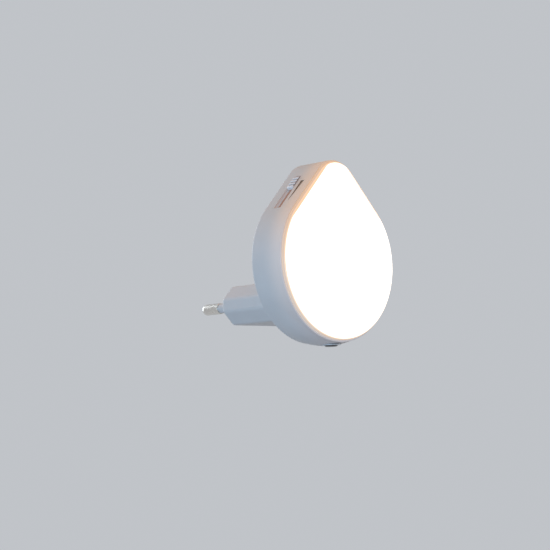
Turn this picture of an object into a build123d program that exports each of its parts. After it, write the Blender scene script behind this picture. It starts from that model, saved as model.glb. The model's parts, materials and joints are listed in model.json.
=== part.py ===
"""Plug-in night light with a drop-shaped body, a brightness slider and a light sensor.

Frame: millimetres, +Z up, +Y into the wall, the glowing front faces -Y. The origin is the middle
of the plug's engagement face, between the two pins. A station is a distance in front of that face.
"""

import os
from math import atan, cos, radians, sin, sqrt, tan

from build123d import *

os.makedirs("parts", exist_ok=True)

# Drop-shaped outline of the body: a large round, a small round above it and two straight flanks
body_radius = 27.5
tip_radius = 10.7
flank_lean = 43.0
axis_drop = 12.4

# Depths of the body, from the back forwards
plug_length = 26.0
housing_depth = 14.1
face_proud = 1.45
wall = 2.0
back_edge_radius = 0.6
front_edge_radius = 0.25

# Shallow swell of the underside round the sensor, a barrel a little smaller than the large round
swell_rise = 0.9
swell_inset = 1.0
swell_sink = 0.1

# Rear cover, which lies flush in a step in the back of the ring
cover_thickness = 2.0
cover_ledge = 1.0
cover_gap = 0.1

# Front diffuser, a cap that rests on the ring's front edge and snaps in with a bead
diffuser_thickness = 1.6
diffuser_inset = 0.6
diffuser_edge_radius = 1.0
skirt_thickness = 1.2
skirt_gap = 0.1
bead_width = 0.8
bead_height = 0.3
bead_gap = 0.1

# Screw bosses of the ring and the screws of the rear cover
boss_radius = 2.5
boss_bite = 0.5
boss_angle = 12.0
cover_screw_radius = 1.1
cover_screw_length = 6.5
screw_head_radius = 2.0
screw_head_height = 1.0
screw_head_gap = 0.15
screw_pilot_gap = 0.02
cross_width = 0.6
cross_length = 2.2
cross_depth = 0.5

# Brightness slider, on the upper left flank
slot_length = 16.0
slot_width = 3.3
slot_drop = 1.47
slot_depth = 0.8
slot_corner = 0.3
slit_width = 1.5
thumb_length = 5.4
thumb_width = 2.7
thumb_proud = 0.5
thumb_edge_radius = 0.4
thumb_end_gap = 0.85
thumb_floor_gap = 0.15
rib_count = 3
rib_pitch = 1.33
rib_groove_top = 0.7
rib_groove_floor = 0.3
rib_groove_depth = 0.45
stem_length = 4.0
stem_width = 1.2
mark_rise = 3.2
mark_length = 9.9
mark_width = 1.55
mark_tip_width = 0.12
mark_gap = 1.5
mark_depth = 0.25

# Slide potentiometer under the slider
pot_length = 19.0
pot_width = 6.1
pot_height = 4.5
pot_wall = 0.5
pot_clearance = 2.2
pot_slit_width = 1.6
lever_width = 0.5
lever_length = 1.8
lever_tip_gap = 0.3
lever_socket_gap = 0.06
stem_pot_gap = 0.3
carriage_length = 5.0
carriage_height = 1.6
carriage_gap = 0.2
track_thickness = 0.6
track_gap = 0.05
wiper_thickness = 0.2
wiper_width = 2.4
wiper_slot = 0.8
wiper_gap = 0.15
wiper_reach = 1.2
wiper_pad = 0.5
terminal_size = 0.6
terminal_stub = 0.8
terminal_count = 4
terminal_pitch = 5.0

# Light sensor on the underside
sensor_from_front = 4.8
bezel_radius = 3.4
bezel_sink = 0.25
bezel_edge_radius = 0.12
bezel_height = 3.73
bezel_gap = 0.05
window_radius = 2.45
window_bulge = 0.75
window_height = 3.1
window_seat = 0.5
tube_radius = 3.2
tube_bore = 2.1
tube_height = 4.4
sensor_radius = 1.5
sensor_nose_radius = 1.2
sensor_flange_radius = 1.95
sensor_flange_height = 0.8
sensor_height = 3.6
sensor_lead_pitch = 2.54
sensor_lead_rise = 1.4
sensor_notch_gap = 0.5

# Two-pin plug
plug_width = 35.3
plug_thickness = 13.7
plug_corner_cut = 4.6
plug_corner_radius = 2.0
plug_inner_corner = 0.5
plug_edge_radius = 0.8
plug_wall = 1.8
plug_face_wall = 3.0
pin_spacing = 18.6
pin_tip_spacing = 17.5
pin_length = 19.0
pin_radius = 2.0
pin_nose_radius = 1.6
pin_core_radius = 1.4
sleeve_length = 10.0
sleeve_radius = 1.75
sleeve_sink = 2.0
sleeve_gap = 0.03
sleeve_hole_gap = 0.05
pin_hole_chamfer = 0.4
collar_radius = 2.5
collar_height = 1.2
collar_gap = 0.1
tail_radius = 1.2
tail_gap = 0.05
tail_head_radius = 1.6
tail_head_height = 0.6
retainer_thickness = 2.2
retainer_gap = 0.3
retainer_boss_radius = 2.2
strip_width = 3.0
eyelet_radius = 2.4
strip_thickness = 0.5
strip_offset = 2.2
strip_gap = 0.15

# Boards and the screws that hold the driver board and the pin retainer
board_thickness = 1.0
board_gap = 0.5
board_standoff = 1.0
part_space = 5.2
pot_board_gap = 2.0
tube_board_gap = 0.2
board_screw_radius = 0.9
board_screw_length = 3.6
board_screw_grip = 1.0
board_screw_head_radius = 1.7
board_screw_head_height = 0.8
post_radius = 2.2
post_inset = 9.1
post_angle = 11.3

# Electronic parts
lead_radius = 0.3
lead_gap = 0.1
lead_stub = 1.0
lead_bend = 0.8
film_cap_width = 12.5
film_cap_thickness = 7.0
film_cap_height = 12.0
film_cap_lead_pitch = 10.0
film_cap_edge = 0.8
round_cap_radius = 2.0
round_cap_length = 7.0
round_cap_x = 7.5
round_cap_drop = 4.9
round_cap_crimp = 0.3
round_cap_crimp_place = 1.2
fuse_waist = 1.1
fuse_end = 1.4
fuse_length = 7.0
fuse_lead_span = 13.0
fuse_rise = 3.8
bridge_length = 4.7
bridge_width = 3.9
bridge_height = 2.4
bridge_x = -9.0
bridge_drop = 5.2
chip_length = 4.9
chip_width = 3.9
chip_height = 1.5
chip_x = -9.0
chip_rise = 0.5
chip_legs = 4
chip_leg_pitch = 1.27
chip_leg_width = 0.4
chip_leg_reach = 1.0
chip_leg_height = 0.2
bridge_legs = 2
bridge_leg_pitch = 2.54
bridge_leg_width = 0.6
chip_edge = 0.3
resistor_length = 3.2
resistor_width = 1.6
resistor_height = 0.6
resistor_pitch = 2.6
resistor_x = 7.5
resistor_rise = 0.5
link_count = 4
link_pitch = 2.54
link_width = 2.5
link_height = 2.2
link_pin_size = 0.6
link_pin_stub = 0.7
link_drop = 6.9
led_length = 3.5
led_width = 2.8
led_height = 0.7
led_window_radius = 1.0
led_window_depth = 0.15
led_ring_radius = 14.0
led_ring_count = 8
led_tip_count = 2
led_tip_rise = 2.2

# Values worked out from the driving dimensions
flank_angle = radians(flank_lean)
tip_height = axis_drop + (body_radius - tip_radius) / sin(flank_angle)
body_bottom = axis_drop - body_radius

back = plug_length
front_edge = back + housing_depth
face = front_edge + face_proud
cover_inside = back + cover_thickness
driver_board_back = cover_inside + board_standoff
driver_board_front = driver_board_back + board_thickness
led_board_back = driver_board_front + part_space
led_board_front = led_board_back + board_thickness
skirt_end = led_board_front
skirt_inset = wall + skirt_gap
bead_station = (skirt_end + front_edge - bead_width) / 2

boss_centre_radius = body_radius - wall - boss_radius + boss_bite
boss_x = boss_centre_radius * cos(radians(boss_angle))
boss_side_z = axis_drop - boss_centre_radius * sin(radians(boss_angle))
boss_top_z = tip_height + tip_radius - wall - boss_radius + boss_bite
boss_places = [(-boss_x, boss_side_z), (boss_x, boss_side_z), (0, boss_top_z)]

flank_length = (body_radius - tip_radius) / tan(flank_angle)
slot_middle = flank_length / 2 - slot_drop
slot_top = slot_middle + slot_length / 2
mark_low = slot_middle - slot_length / 2 + mark_rise
mark_high = mark_low + mark_length
slot_station = led_board_back - pot_width / 2
slider_travel = slot_length - thumb_length - 2 * thumb_end_gap
thumb_middle = slot_top - thumb_end_gap - thumb_length / 2
slit_length = stem_length + slider_travel + 2 * thumb_end_gap
pot_middle = thumb_middle - slider_travel / 2
lever_tip = -(wall + lever_tip_gap)
pot_depth = wall + pot_clearance
flank_foot_z = axis_drop + body_radius * sin(flank_angle)
pot_foot_z = (
    flank_foot_z
    + (pot_middle - pot_length / 2) * cos(flank_angle)
    - (pot_depth + pot_height) * sin(flank_angle)
)
stem_end = -(pot_depth - stem_pot_gap)
carriage_top = -(pot_depth + pot_wall + carriage_gap)
carriage_bottom = carriage_top - carriage_height
track_top = -(pot_depth + pot_height - track_thickness)

swell_back = back + back_edge_radius
swell_front = front_edge - front_edge_radius
swell_bottom = body_bottom - swell_rise
swell_axis_z = swell_bottom + body_radius - swell_inset
swell_rim_z = body_bottom + swell_sink

sensor_station = front_edge - sensor_from_front
bezel_bottom = swell_bottom + bezel_sink
bezel_top = bezel_bottom + bezel_height
window_top = bezel_top - window_seat
window_rim = window_top - window_height
window_bottom = bezel_bottom - window_bulge
tube_top = bezel_top + tube_height
sensor_lead_z = tube_top + sensor_lead_rise

pin_lean = atan((pin_spacing - pin_tip_spacing) / 2 / pin_length)
retainer_back = plug_face_wall + collar_height + 2 * collar_gap
retainer_front = retainer_back + retainer_thickness
strip_x = pin_spacing / 2 + retainer_front * (pin_spacing - pin_tip_spacing) / 2 / pin_length
strip_end = driver_board_front + lead_stub
lead_hole_radius = lead_radius + lead_gap
lead_end = driver_board_back - lead_stub
post_x = (body_radius - post_inset) * cos(radians(post_angle))
post_z = axis_drop + (body_radius - post_inset) * sin(radians(post_angle))
post_places = [(-post_x, post_z), (post_x, post_z)]


def station(distance):
    """The plane that faces forwards at a distance in front of the plug's engagement face."""
    return Plane.XZ.offset(distance)


def teardrop(inset):
    """The body's outline, moved inwards by an inset."""
    large = body_radius - inset
    small = tip_radius - inset
    foot_x = large * cos(flank_angle)
    foot_z = axis_drop + large * sin(flank_angle)
    head_x = small * cos(flank_angle)
    head_z = tip_height + small * sin(flank_angle)
    with BuildSketch() as outline:
        with BuildLine():
            Line((-foot_x, foot_z), (-head_x, head_z))
            ThreePointArc((-head_x, head_z), (0, tip_height + small), (head_x, head_z))
            Line((head_x, head_z), (foot_x, foot_z))
            ThreePointArc((foot_x, foot_z), (0, axis_drop - large), (-foot_x, foot_z))
        make_face()
    return outline.sketch


def plug_outline(inset):
    """The plug's flat contour with cut corners, moved inwards by an inset."""
    half_width = plug_width / 2 - inset
    half_height = plug_thickness / 2 - inset
    # a parallel line keeps its distance on the slanted corner too
    cut = plug_corner_cut - inset * (2 - sqrt(2))
    with BuildSketch() as outline:
        Rectangle(2 * half_width, 2 * half_height)
        chamfer(outline.vertices(), cut)
        fillet(outline.vertices(), max(plug_corner_radius - inset, plug_inner_corner))
    return outline.sketch


# The flank's own plane: x runs up the flank from its lower end, y to the wall, z out of the body
flank = Plane(
    origin=(
        -body_radius * cos(flank_angle),
        -slot_station,
        flank_foot_z,
    ),
    x_dir=(sin(flank_angle), 0, cos(flank_angle)),
    z_dir=(-cos(flank_angle), 0, sin(flank_angle)),
)


def pin_plane(side):
    """The plane at the foot of a pin, with z along the pin, which leans in towards its tip."""
    return Plane(
        origin=(side * pin_spacing / 2, 0, 0),
        x_dir=(0, 0, 1),
        z_dir=(-side * sin(pin_lean), cos(pin_lean), 0),
    )


# The slider's lengthwise section: x runs up the flank, y out of the body
slider_section = Plane(origin=flank.origin, x_dir=flank.x_dir, z_dir=(0, -1, 0))

# The body's section through the middle: x is a station, y is a height
middle_section = Plane(origin=(0, 0, 0), x_dir=(0, -1, 0), z_dir=(-1, 0, 0))

# The underside's plane at the sensor: z points up into the body
sensor_plane = Plane(origin=(0, -sensor_station, 0), x_dir=(1, 0, 0), z_dir=(0, 0, 1))


# Housing: drop-shaped ring, open at both ends
with BuildPart() as housing_shell:
    with BuildSketch(station(back)):
        add(teardrop(0))
    extrude(amount=housing_depth)
    fillet(housing_shell.faces().sort_by(Axis.Y)[-1].edges(), back_edge_radius)
    fillet(housing_shell.faces().sort_by(Axis.Y)[0].edges(), front_edge_radius)
    # swell of the underside
    with BuildSketch(middle_section):
        with BuildLine():
            ThreePointArc(
                (swell_back, swell_rim_z),
                ((swell_back + swell_front) / 2, swell_bottom),
                (swell_front, swell_rim_z),
            )
            Polyline(
                (swell_front, swell_rim_z),
                (swell_front, swell_axis_z),
                (swell_back, swell_axis_z),
                (swell_back, swell_rim_z),
            )
        make_face()
    revolve(axis=Axis((0, 0, swell_axis_z), (0, 1, 0)))
    with BuildSketch(station(back)):
        add(teardrop(wall))
    extrude(amount=housing_depth, mode=Mode.SUBTRACT)
    # step for the rear cover
    with BuildSketch(station(back)):
        add(teardrop(cover_ledge))
    extrude(amount=cover_thickness, mode=Mode.SUBTRACT)
    # groove for the diffuser's snap bead
    with BuildSketch(station(bead_station - bead_gap)):
        add(teardrop(skirt_inset - bead_height - bead_gap))
    extrude(amount=bead_width + 2 * bead_gap, mode=Mode.SUBTRACT)
    # screw bosses, which also carry the LED board
    with BuildSketch(station(cover_inside)):
        with Locations(*boss_places):
            Circle(boss_radius)
    extrude(amount=led_board_back - cover_inside)
    with BuildSketch(station(cover_inside)):
        with Locations(*boss_places):
            Circle(cover_screw_radius + screw_pilot_gap)
    extrude(amount=led_board_back - cover_inside, mode=Mode.SUBTRACT)
    # slider recess with the slit for the knob's stem in its floor
    with BuildSketch(flank):
        with Locations((slot_middle, 0)):
            RectangleRounded(slot_length, slot_width, slot_corner)
    extrude(amount=-slot_depth, mode=Mode.SUBTRACT)
    with BuildSketch(flank):
        with Locations((pot_middle, 0)):
            SlotOverall(slit_length, slit_width)
    extrude(amount=-(wall + slot_depth), mode=Mode.SUBTRACT)
    # wedge that tells which way is brighter
    with BuildSketch(flank):
        with BuildLine():
            Polyline(
                (mark_low, -(slot_width / 2 + mark_gap)),
                (mark_high, -(slot_width / 2 + mark_gap)),
                (mark_high, -(slot_width / 2 + mark_gap + mark_width)),
                (mark_low, -(slot_width / 2 + mark_gap + mark_tip_width)),
                close=True,
            )
        make_face()
    extrude(amount=-mark_depth, mode=Mode.SUBTRACT)
    # hole for the sensor's bezel
    with BuildSketch(sensor_plane.offset(body_bottom - bezel_height)):
        Circle(bezel_radius + bezel_gap)
    extrude(amount=2 * bezel_height, mode=Mode.SUBTRACT)
housing_shell.part.label = "housing_shell"
export_step(housing_shell.part, "parts/housing_shell.step")


# Front diffuser: opal cap with a rounded edge, a skirt and a snap bead
with BuildPart() as front_diffuser:
    with BuildSketch(station(front_edge)):
        add(teardrop(diffuser_inset))
    extrude(amount=face_proud)
    fillet(front_diffuser.faces().sort_by(Axis.Y)[0].edges(), diffuser_edge_radius)
    with BuildSketch(station(skirt_end)):
        add(teardrop(skirt_inset))
    extrude(amount=front_edge - skirt_end)
    with BuildSketch(station(bead_station)):
        add(teardrop(skirt_inset - bead_height))
    extrude(amount=bead_width)
    with BuildSketch(station(skirt_end)):
        add(teardrop(skirt_inset + skirt_thickness))
    extrude(amount=face - diffuser_thickness - skirt_end, mode=Mode.SUBTRACT)
    # room for the sensor's bezel and tube
    with BuildSketch(station(skirt_end)):
        with Locations((0, body_bottom)):
            Rectangle(
                2 * (bezel_radius + sensor_notch_gap),
                2 * (wall + skirt_gap + skirt_thickness + sensor_notch_gap),
            )
    extrude(
        amount=sensor_station + bezel_radius + sensor_notch_gap - skirt_end,
        mode=Mode.SUBTRACT,
    )
front_diffuser.part.label = "front_diffuser"
export_step(front_diffuser.part, "parts/front_diffuser.step")


# Rear cover: back plate with the hollow plug body
with BuildPart() as rear_cover:
    with BuildSketch(station(0)):
        add(plug_outline(0))
    extrude(amount=back)
    fillet(rear_cover.faces().sort_by(Axis.Y)[-1].edges(), plug_edge_radius)
    with BuildSketch(station(back)):
        add(teardrop(cover_ledge + cover_gap))
    extrude(amount=cover_thickness)
    with BuildSketch(station(plug_face_wall)):
        add(plug_outline(plug_wall))
    extrude(amount=cover_inside - plug_face_wall, mode=Mode.SUBTRACT)
    # stepped holes that seat the sleeves and pass the pins, with a lead-in at the face
    for side in (-1, 1):
        with BuildSketch(pin_plane(side).offset(plug_edge_radius)):
            Circle(sleeve_radius + sleeve_hole_gap)
        extrude(amount=-(sleeve_sink + plug_edge_radius), mode=Mode.SUBTRACT)
        with BuildSketch(pin_plane(side)):
            Circle(pin_core_radius + sleeve_hole_gap)
        extrude(amount=-2 * plug_face_wall, mode=Mode.SUBTRACT)
        with Locations(pin_plane(side)):
            Cone(
                sleeve_radius + sleeve_hole_gap,
                sleeve_radius + sleeve_hole_gap + 2 * pin_hole_chamfer,
                2 * pin_hole_chamfer,
                mode=Mode.SUBTRACT,
            )
    # counterbored holes of the cover screws
    with Locations(station(back).rotated((180, 0, 0))):
        with Locations(*[(x, -z) for x, z in boss_places]):
            CounterBoreHole(
                cover_screw_radius + screw_head_gap,
                screw_head_radius + screw_head_gap,
                screw_head_height + screw_head_gap,
                cover_thickness,
            )
    # posts of the driver board and boss of the pin retainer
    with BuildSketch(station(cover_inside)):
        with Locations(*post_places):
            Circle(post_radius)
    extrude(amount=board_standoff)
    with BuildSketch(station(plug_face_wall)):
        Circle(retainer_boss_radius)
    extrude(amount=retainer_back - plug_face_wall)
    for seat, grip, places in (
        (driver_board_back, board_thickness, post_places),
        (retainer_back, board_screw_grip, [(0, 0)]),
    ):
        with BuildSketch(station(seat)):
            with Locations(*places):
                Circle(board_screw_radius + screw_pilot_gap)
        extrude(amount=-(board_screw_length - grip + screw_head_gap), mode=Mode.SUBTRACT)
rear_cover.part.label = "rear_cover"
export_step(rear_cover.part, "parts/rear_cover.step")


# Screws of the rear cover: pan heads with a cross recess
with BuildPart() as cover_screws:
    with BuildSketch(station(back + screw_head_gap)):
        with Locations(*boss_places):
            Circle(screw_head_radius)
    extrude(amount=screw_head_height)
    with BuildSketch(station(back + screw_head_gap)):
        with Locations(*boss_places):
            Circle(cover_screw_radius)
    extrude(amount=screw_head_height + cover_screw_length)
    chamfer(cover_screws.edges().group_by(Axis.Y)[0], cover_screw_radius / 2)
    with BuildSketch(station(back + screw_head_gap)):
        with Locations(*boss_places):
            Rectangle(cross_length, cross_width)
            Rectangle(cross_width, cross_length)
    extrude(amount=cross_depth, mode=Mode.SUBTRACT)
cover_screws.part.label = "cover_screws"
export_step(cover_screws.part, "parts/cover_screws.step")


# Contact pins, each with its insulating sleeve and the strip that takes the current inside
for side, side_name in ((-1, "left"), (1, "right")):
    axis_plane = pin_plane(side)

    with BuildPart() as plug_pin:
        with BuildSketch(axis_plane.offset(sleeve_length)):
            Circle(pin_radius)
        extrude(amount=pin_length - sleeve_length)
        fillet(plug_pin.edges().sort_by(Axis.Y)[-1], pin_nose_radius)
        with BuildSketch(axis_plane.offset(sleeve_length)):
            Circle(pin_core_radius)
        extrude(amount=-(sleeve_length + plug_face_wall + collar_gap))
        with BuildSketch(axis_plane.offset(-(plug_face_wall + collar_gap))):
            Circle(collar_radius)
        extrude(amount=-collar_height)
        with BuildSketch(axis_plane.offset(-(plug_face_wall + collar_gap))):
            Circle(tail_radius)
        extrude(amount=-(retainer_front + strip_thickness + 2 * collar_gap - plug_face_wall))
        with BuildSketch(axis_plane.offset(-(retainer_front + strip_thickness + collar_gap))):
            Circle(tail_head_radius)
        extrude(amount=-tail_head_height)
    plug_pin.part.label = f"plug_pin_{side_name}"
    export_step(plug_pin.part, f"parts/plug_pin_{side_name}.step")

    with BuildPart() as pin_sleeve:
        with BuildSketch(axis_plane.offset(-sleeve_sink)):
            Circle(sleeve_radius)
            Circle(pin_core_radius + sleeve_gap, mode=Mode.SUBTRACT)
        extrude(amount=sleeve_sink + sleeve_length)
    pin_sleeve.part.label = f"pin_sleeve_{side_name}"
    export_step(pin_sleeve.part, f"parts/pin_sleeve_{side_name}.step")

    with BuildPart() as contact_strip:
        with BuildSketch(station(retainer_front)):
            with Locations((side * strip_x, 0)):
                Circle(eyelet_radius)
            with Locations((side * strip_x, (strip_offset + strip_thickness) / 2)):
                Rectangle(strip_width, strip_offset + strip_thickness)
        extrude(amount=strip_thickness)
        with BuildSketch(station(retainer_front)):
            with Locations((side * strip_x, strip_offset + strip_thickness / 2)):
                Rectangle(strip_width, strip_thickness)
        extrude(amount=strip_end - retainer_front)
        with BuildSketch(axis_plane):
            Circle(tail_radius + tail_gap)
        extrude(amount=-2 * retainer_front, mode=Mode.SUBTRACT)
    contact_strip.part.label = f"contact_strip_{side_name}"
    export_step(contact_strip.part, f"parts/contact_strip_{side_name}.step")


# Pin retainer: plate that keeps both collars against the plug's face
with BuildPart() as pin_retainer:
    with BuildSketch(station(retainer_back)):
        add(plug_outline(plug_wall + retainer_gap))
    extrude(amount=retainer_thickness)
    for side in (-1, 1):
        with BuildSketch(pin_plane(side)):
            Circle(tail_radius + tail_gap)
        extrude(amount=-2 * retainer_front, mode=Mode.SUBTRACT)
    with Locations(station(retainer_front)):
        CounterBoreHole(
            board_screw_radius + lead_gap,
            board_screw_head_radius + screw_head_gap,
            retainer_thickness - board_screw_grip,
            retainer_thickness,
        )
pin_retainer.part.label = "pin_retainer"
export_step(pin_retainer.part, "parts/pin_retainer.step")


# Screws of the driver board and of the pin retainer
with BuildPart() as board_screws:
    for seat, places in (
        (driver_board_front, post_places),
        (retainer_back + board_screw_grip, [(0, 0)]),
    ):
        with BuildSketch(station(seat)):
            with Locations(*places):
                Circle(board_screw_head_radius)
        extrude(amount=board_screw_head_height)
        with BuildSketch(station(seat)):
            with Locations(*places):
                Circle(board_screw_radius)
        extrude(amount=-board_screw_length)
        with BuildSketch(station(seat + board_screw_head_height)):
            with Locations(*places):
                Rectangle(cross_length, cross_width)
                Rectangle(cross_width, cross_length)
        extrude(amount=-cross_depth, mode=Mode.SUBTRACT)
board_screws.part.label = "board_screws"
export_step(board_screws.part, "parts/board_screws.step")


# Edges of the driver board, between the sensor's tube and the potentiometer, and places of its parts
driver_board_top = pot_foot_z - pot_board_gap
driver_board_bottom = tube_top + tube_board_gap
round_cap_z = axis_drop - round_cap_drop
fuse_z = tube_top + fuse_rise
bridge_z = axis_drop - bridge_drop
chip_z = axis_drop + chip_rise
resistor_z = axis_drop + resistor_rise
link_z = axis_drop - link_drop
round_cap_lead_x = round_cap_x - lead_stub
round_cap_leads = [(round_cap_lead_x, round_cap_z - lead_stub), (round_cap_lead_x, round_cap_z + lead_stub)]
fuse_leads = [(-fuse_lead_span / 2, fuse_z), (fuse_lead_span / 2, fuse_z)]
film_cap_leads = [(-film_cap_lead_pitch / 2, 0), (film_cap_lead_pitch / 2, 0)]
sensor_leads = [(-sensor_lead_pitch / 2, sensor_lead_z), (sensor_lead_pitch / 2, sensor_lead_z)]


# Driver board: lower part of the body's round, cut clear of the slider's potentiometer
with BuildPart() as driver_board:
    with BuildSketch(station(driver_board_back)):
        with Locations((0, axis_drop)):
            Circle(body_radius - wall - board_gap)
        with Locations((0, (driver_board_top + driver_board_bottom) / 2)):
            Rectangle(
                2 * body_radius,
                driver_board_top - driver_board_bottom,
                mode=Mode.INTERSECT,
            )
        with Locations(*boss_places):
            Circle(boss_radius + board_gap, mode=Mode.SUBTRACT)
        with Locations(*post_places):
            Circle(board_screw_radius + lead_gap, mode=Mode.SUBTRACT)
        with Locations(*round_cap_leads, *fuse_leads, *film_cap_leads, *sensor_leads):
            Circle(lead_hole_radius, mode=Mode.SUBTRACT)
        with Locations(*[(side * strip_x, strip_offset + strip_thickness / 2) for side in (-1, 1)]):
            Rectangle(
                strip_width + 2 * strip_gap,
                strip_thickness + 2 * strip_gap,
                mode=Mode.SUBTRACT,
            )
        with Locations((0, link_z)):
            with GridLocations(link_pitch, 0, link_count, 1):
                Circle(link_pin_size, mode=Mode.SUBTRACT)
    extrude(amount=board_thickness)
driver_board.part.label = "driver_board"
export_step(driver_board.part, "parts/driver_board.step")


# Film capacitor: stands on the back of the driver board, inside the plug body
with BuildPart() as film_capacitor:
    with BuildSketch(station(driver_board_back - film_cap_height)):
        Rectangle(film_cap_width, film_cap_thickness)
    extrude(amount=film_cap_height)
    fillet(film_capacitor.edges().filter_by(Axis.Y), film_cap_edge)
    fillet(film_capacitor.faces().sort_by(Axis.Y)[-1].edges(), film_cap_edge / 2)
    with BuildSketch(station(driver_board_back)):
        with Locations(*film_cap_leads):
            Circle(lead_radius)
    extrude(amount=board_thickness + lead_stub)
film_capacitor.part.label = "film_capacitor"
export_step(film_capacitor.part, "parts/film_capacitor.step")


# Smoothing capacitor: a can that lies on the board, with its leads bent into it
round_cap_axis = driver_board_front + round_cap_radius
with BuildPart() as smoothing_capacitor:
    can_end = Plane(
        origin=(round_cap_x, -round_cap_axis, round_cap_z), x_dir=(0, 0, 1), z_dir=(1, 0, 0)
    )
    with BuildSketch(can_end):
        Circle(round_cap_radius)
    extrude(amount=round_cap_length)
    fillet(smoothing_capacitor.edges().sort_by(Axis.X)[-1], round_cap_crimp)
    with BuildSketch(can_end.offset(round_cap_crimp_place)):
        Circle(round_cap_radius)
        Circle(round_cap_radius - round_cap_crimp, mode=Mode.SUBTRACT)
    extrude(amount=round_cap_crimp, mode=Mode.SUBTRACT)
    for x, z in round_cap_leads:
        with BuildLine():
            FilletPolyline(
                (round_cap_x, -round_cap_axis, z),
                (x, -round_cap_axis, z),
                (x, -lead_end, z),
                radius=lead_bend,
            )
        with BuildSketch(Plane(origin=(round_cap_x, -round_cap_axis, z), z_dir=(-1, 0, 0))):
            Circle(lead_radius)
        sweep()
smoothing_capacitor.part.label = "smoothing_capacitor"
export_step(smoothing_capacitor.part, "parts/smoothing_capacitor.step")


# Fusible resistor: waisted body with a lead bent into the board at each end
fuse_axis = driver_board_front + fuse_end
with BuildPart() as fuse_resistor:
    fuse_section = Plane(origin=(0, -fuse_axis, fuse_z), x_dir=(1, 0, 0), z_dir=(0, -1, 0))
    with BuildSketch(fuse_section):
        with BuildLine():
            Polyline(
                (-fuse_length / 2, fuse_end),
                (-fuse_length / 2, 0),
                (fuse_length / 2, 0),
                (fuse_length / 2, fuse_end),
            )
            ThreePointArc(
                (fuse_length / 2, fuse_end), (0, fuse_waist), (-fuse_length / 2, fuse_end)
            )
        make_face()
    revolve(axis=Axis((0, -fuse_axis, fuse_z), (1, 0, 0)))
    for side, (x, z) in zip((-1, 1), fuse_leads):
        with BuildLine():
            FilletPolyline(
                (side * fuse_length / 2, -fuse_axis, z),
                (x, -fuse_axis, z),
                (x, -lead_end, z),
                radius=lead_bend,
            )
        with BuildSketch(Plane(origin=(side * fuse_length / 2, -fuse_axis, z), z_dir=(side, 0, 0))):
            Circle(lead_radius)
        sweep()
fuse_resistor.part.label = "fuse_resistor"
export_step(fuse_resistor.part, "parts/fuse_resistor.step")


# Bridge rectifier and driver chip: moulded blocks with flat feet on two sides
for name, x, z, length, width, height, legs, leg_pitch, leg_width in (
    (
        "bridge_rectifier",
        bridge_x,
        bridge_z,
        bridge_length,
        bridge_width,
        bridge_height,
        bridge_legs,
        bridge_leg_pitch,
        bridge_leg_width,
    ),
    (
        "driver_chip",
        chip_x,
        chip_z,
        chip_length,
        chip_width,
        chip_height,
        chip_legs,
        chip_leg_pitch,
        chip_leg_width,
    ),
):
    with BuildPart() as chip:
        with BuildSketch(station(driver_board_front + chip_leg_height / 2)):
            with Locations((x, z)):
                Rectangle(length, width)
        extrude(amount=height)
        chamfer(chip.faces().sort_by(Axis.Y)[0].edges(), chip_edge)
        with BuildSketch(station(driver_board_front)):
            with Locations((x, z)):
                with GridLocations(leg_pitch, 0, legs, 1):
                    Rectangle(leg_width, width + 2 * chip_leg_reach)
        extrude(amount=chip_leg_height)
    chip.part.label = name
    export_step(chip.part, f"parts/{name}.step")


# Chip resistors that set the lamp current
with BuildPart() as current_resistors:
    with BuildSketch(station(driver_board_front)):
        with Locations((resistor_x, resistor_z)):
            with GridLocations(resistor_length + resistor_width, resistor_pitch, 2, 2):
                Rectangle(resistor_length, resistor_width)
    extrude(amount=resistor_height)
current_resistors.part.label = "current_resistors"
export_step(current_resistors.part, "parts/current_resistors.step")


# Pin header from the driver board to the LED board
with BuildPart() as link_block:
    with BuildSketch(station(driver_board_front)):
        with Locations((0, link_z)):
            Rectangle(link_count * link_pitch, link_width)
            with GridLocations(link_pitch, 0, link_count, 1):
                Rectangle(
                    link_pin_size + lead_gap, link_pin_size + lead_gap, mode=Mode.SUBTRACT
                )
    extrude(amount=link_height)
link_block.part.label = "link_block"
export_step(link_block.part, "parts/link_block.step")

with BuildPart() as link_pins:
    with BuildSketch(station(driver_board_back - link_pin_stub)):
        with Locations((0, link_z)):
            with GridLocations(link_pitch, 0, link_count, 1):
                Rectangle(link_pin_size, link_pin_size)
    extrude(amount=led_board_front - driver_board_back + 2 * link_pin_stub)
link_pins.part.label = "link_pins"
export_step(link_pins.part, "parts/link_pins.step")


# LED board: rests on the bosses and is clamped by the diffuser's skirt
notch_top = sensor_lead_z + lead_radius + sensor_notch_gap
led_ring_top = axis_drop + led_ring_radius
led_tip_pitch = (tip_height + led_tip_rise - led_ring_top) / led_tip_count
led_places = [(0, axis_drop)] + [
    (0, led_ring_top + number * led_tip_pitch)
    for number in range(1, led_tip_count + 1)
]
with BuildPart() as led_board:
    with BuildSketch(station(led_board_back)):
        add(teardrop(skirt_inset + skirt_gap))
        with Locations((0, body_bottom)):
            Rectangle(
                2 * (bezel_radius + sensor_notch_gap),
                2 * (notch_top - body_bottom),
                mode=Mode.SUBTRACT,
            )
        with Locations((0, link_z)):
            with GridLocations(link_pitch, 0, link_count, 1):
                Circle(link_pin_size, mode=Mode.SUBTRACT)
    extrude(amount=board_thickness)
    with BuildSketch(slider_section.offset(led_board_back - slot_station)):
        with Locations((pot_middle, -(pot_depth + pot_height / 2))):
            with GridLocations(terminal_pitch, 0, terminal_count, 1):
                Circle(terminal_size)
    extrude(amount=board_thickness, mode=Mode.SUBTRACT)
led_board.part.label = "led_board"
export_step(led_board.part, "parts/led_board.step")


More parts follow.
